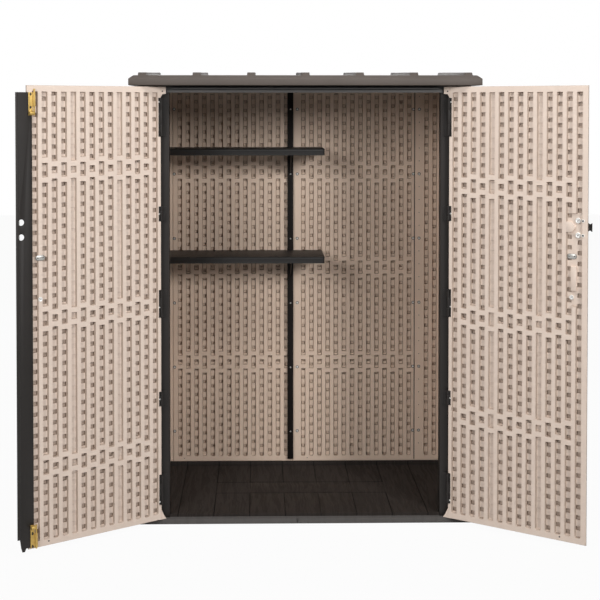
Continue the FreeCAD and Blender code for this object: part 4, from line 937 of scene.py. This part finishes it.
def bolt_heads(name, place, body, spots, replaced):
    """Heads at (across, out, up, radius, height) on a door, as one piece with their slots as another."""
    heads, slots = [], []
    for across, out, up, radius, height in spots:
        profile = [(r / PROFILE_RADIUS * radius, h / PROFILE_HEIGHT * height) for r, h in HEAD_PROFILE]
        heads.append((profile, place @ Matrix.Translation((across, out, up)) @ TO_OUT))
        half, level = radius * SLOT_HALF, out + height * SLOT_LEVEL
        tilt, thin = SLOT_SLANT * half, SLOT_THIN * radius
        slots.append(([(across - half, up - tilt - thin), (across + half, up + tilt - thin),
                       (across + half, up + tilt + thin), (across - half, up - tilt + thin)],
                      level - SLOT_DEPTH, level, "y"))
    spun(name, heads, SCREW, body, replaced)
    prisms(name + "_slots", slots, place, HOLE, body)


def hasp_plate(side, place, out):
    """A flat plate with round ends and a darker rim."""
    for name, half_long, half_wide, height, material in (("rim", 20 * MM, 10.5 * MM, RIM_HEIGHT, ZINC_RIM),
                                                         ("face", 18 * MM, 8.5 * MM, PLATE_HEIGHT, ZINC)):
        outline = []
        for end, first in ((half_long - half_wide, 0), (half_wide - half_long, PLATE_ARC)):
            for step in range(first, first + PLATE_ARC + 1):
                turn = math.pi * step / PLATE_ARC
                outline.append((HASP_ACROSS[side] + end + half_wide * math.sin(turn),
                                HASP + half_wide * math.cos(turn)))
        prisms("hasp_%s_%s" % (name, side), [(outline, out, out + height, "y")], place, material,
               side + "_door", PLATE_EDGE)


bolt_heads("latch_heads", RIGHT_PLACE, "right_door",
           [(LATCH_ACROSS, RECESS_FLOOR, z, 11 * MM, 5 * MM) for z in LATCH_ROWS]
           + [(HASP_ACROSS["right"], RECESS_FLOOR, LOWER_HEAD, 9 * MM, 5 * MM)], ["latch_fittings"])
bolt_heads("lower_head_left", LEFT_PLACE, "left_door",
           [(HASP_ACROSS["left"], 0.0, LOWER_HEAD, 9 * MM, 2 * MM)], ["left_fittings"])
hasp_plate("left", LEFT_PLACE, 0.0)
hasp_plate("right", RIGHT_PLACE, RECESS_FLOOR)

# Flat seat behind the latch's bolt heads; a dark strip down the astragal that is a painted shadow line; and a dark
# strip in the joint at the corner board that is a painted shadow.
prisms("latch_seat", [(rectangle(543 * MM, 1213 * MM, 565 * MM, 1308 * MM), -17 * MM, -8.9 * MM, "y")],
       RIGHT_PLACE, BEIGE, "right_door")
prisms("astragal_shadow_line", [(rectangle(622.4 * MM, 74 * MM, 624.6 * MM, 1786 * MM), 2.4 * MM, 3.2 * MM, "y")],
       LEFT_PLACE, HOLE, "left_door")
JOINT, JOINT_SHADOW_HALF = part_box("corner_right")[0].x, 1.9 * MM
prisms("panel_joint_shadow", [(rectangle(JOINT - JOINT_SHADOW_HALF, 60 * MM, JOINT + JOINT_SHADOW_HALF, 1800 * MM),
                        -3 * MM, -0.5 * MM, "y")], BACK_PLACE, HOLE, "cabinet")

# Outside pull, in millimetres: a waisted grip, its stem and a flat foot, each with its two levels.
PULL = 1260.5
WAIST = [(572.6, 17.5), (577, 13.5), (581, 12.5), (585, 13.5), (589.2, 17.8)]
GRIP = [(across, PULL + tall) for across, tall in WAIST]
GRIP += [(across, PULL - tall) for across, tall in reversed(WAIST)]
STEM = rectangle(568, PULL - 8, 584, PULL + 8)
FOOT = [(564, 1222), (568, 1218), (575, 1218), (579, 1222),
        (579, 1299), (575, 1303), (568, 1303), (564, 1299)]
PULL_FORMS = ((GRIP, -57.8, -50), (STEM, -51, -31), (FOOT, -31.8, -27.8))
prisms("pull", [([(x * MM, z * MM) for x, z in outline], near * MM, far * MM, "y")
                for outline, near, far in PULL_FORMS], RIGHT_PLACE, DARK, "right_door", 1.2 * MM, ["handle"])

# The remaining parts keep their solids' shapes: a finish and a width of rounded edge for each.
for label, material, width in (
        ("roof", ROOF_DARK, 2.2 * MM), ("floor_base", PLANKS, 1.2 * MM), ("header", HEADER_HIGHLIGHT_COAT, 0.8 * MM),
        ("jamb_left", BLACK, 1.5 * MM), ("jamb_right", BLACK, 1.5 * MM), ("back_post", POST_SHADED_COAT, 1.0 * MM),
        ("shelf_high", SHELF_DARK, 1.5 * MM), ("shelf_low", SHELF_DARK, 1.5 * MM),
        ("astragal", BLACK, 0.8 * MM),
        ("gusset_wall_high", DARK, 0.6 * MM), ("gusset_wall_low", DARK, 0.6 * MM),
        ("gusset_post_high", DARK, 0.6 * MM), ("gusset_post_low", DARK, 0.6 * MM),
        ("hinge_brackets_left", BLACK, 0.4 * MM), ("hinge_brackets_right", BLACK, 0.4 * MM),
        ("hinge_leaves_left", BLACK, 0.4 * MM), ("hinge_leaves_right", BLACK, 0.4 * MM),
        ("bolt_plate_high", BRASS, 0.3 * MM), ("bolt_plate_low", BRASS, 0.3 * MM),
        ("bolt_rod_high", BRASS, 0.6 * MM), ("bolt_rod_low", BRASS, 0.6 * MM),
        ("latch_rings", WHITE, 0.5 * MM)):
    softened(label, material, width)

# Stage, lights and camera.
FLOOR_REACH, FLOOR_DROP = 14.0, 0.5 * MM
FLOOR_GREY = (0.4, 0.4, 0.4, 1.0)
FLOOR_SEEN = 0.96
SURROUND = 0.05
PURE_WHITE = (1.0, 1.0, 1.0, 1.0)
# Name, place, target, width, height and power of each soft light.
LIGHTS = (("left_light", (-2.8, -4.5, 2.9), (0.0, 0.0, 1.0), 1.7, 1.7, 108),
          ("right_light", (3.1, -4.5, 2.9), (0.0, 0.0, 1.0), 1.3, 1.3, 143),
          ("top_light", (0.0, -1.8, 4.6), (0.0, -0.3, 1.8), 2.6, 1.4, 76),
          ("rear_light", (0.0, 5.0, 3.4), (0.0, 0.3, 1.0), 3.4, 2.2, 120))
CAMERA_PLACE = (-0.1924, -5.3085, 1.7289)
CAMERA_YAW, CAMERA_PITCH = math.radians(0.995), math.radians(-1.375)
LENS, SENSOR = 71.95, 36.0
SHIFT_X, SHIFT_Y = 0.0343, -0.2727


def stage_material(name, colour, seen):
    """A surface that the camera and mirrors see as plain white and that still takes shadow."""
    finish = Finish(name)
    tree = finish.tree
    camera = made(tree, "ShaderNodeLightPath", result="Is Camera Ray")
    glossy = made(tree, "ShaderNodeLightPath", result="Is Glossy Ray")
    glow = made(tree, "ShaderNodeEmission", sockets={"Color": PURE_WHITE})
    both = made(tree, "ShaderNodeMixShader", sockets={
        0: camera.at_least(glossy) * seen, 1: Wire(tree, finish.shader.outputs[0]), 2: glow})
    end = next(n for n in tree.nodes if n.type == "OUTPUT_MATERIAL")
    plug(tree, both, end.inputs[0])
    return finish.done(colour, 0.9)


def stage_floor():
    mesh = bpy.data.meshes.new("studio_floor")
    corners = rectangle(-FLOOR_REACH, -FLOOR_REACH, FLOOR_REACH, FLOOR_REACH)
    mesh.from_pydata([(x, y, 0) for x, y in corners], [], [(0, 1, 2, 3)])
    floor = new_object("studio_floor", mesh)
    floor.location.z = -FLOOR_DROP
    mesh.materials.append(stage_material("studio_white", FLOOR_GREY, FLOOR_SEEN))


def studio_world():
    world = bpy.data.worlds.new("studio")
    bpy.context.scene.world = world
    world.use_nodes = True
    tree = world.node_tree
    back = next(n for n in tree.nodes if n.type == "BACKGROUND")
    back.inputs["Color"].default_value = PURE_WHITE
    seen = made(tree, "ShaderNodeLightPath", result="Is Camera Ray").at_least(
        made(tree, "ShaderNodeLightPath", result="Is Transmission Ray"))
    plug(tree, seen * (1 - SURROUND) + SURROUND, back.inputs["Strength"])


def soft_box(name, place, target, width, height, power):
    lamp = bpy.data.lights.new(name, "AREA")
    lamp.shape = "RECTANGLE"
    lamp.size = width
    lamp.size_y = height
    lamp.energy = power
    light = new_object(name, lamp)
    light.location = place
    light.rotation_euler = (Vector(target) - Vector(place)).to_track_quat("-Z", "Y").to_euler()


def aim_camera():
    lens = bpy.data.cameras.new("camera")
    lens.lens = LENS
    lens.sensor_width = SENSOR
    lens.shift_x = SHIFT_X
    lens.shift_y = SHIFT_Y
    camera = new_object("camera", lens)
    camera.location = CAMERA_PLACE
    level = math.cos(CAMERA_PITCH)
    ahead = Vector((math.sin(CAMERA_YAW) * level, math.cos(CAMERA_YAW) * level, math.sin(CAMERA_PITCH)))
    camera.rotation_euler = ahead.to_track_quat("-Z", "Y").to_euler()
    bpy.context.scene.camera = camera


stage_floor()
studio_world()
for light in LIGHTS:
    soft_box(*light)
aim_camera()
bpy.context.scene.view_settings.view_transform = "Standard"
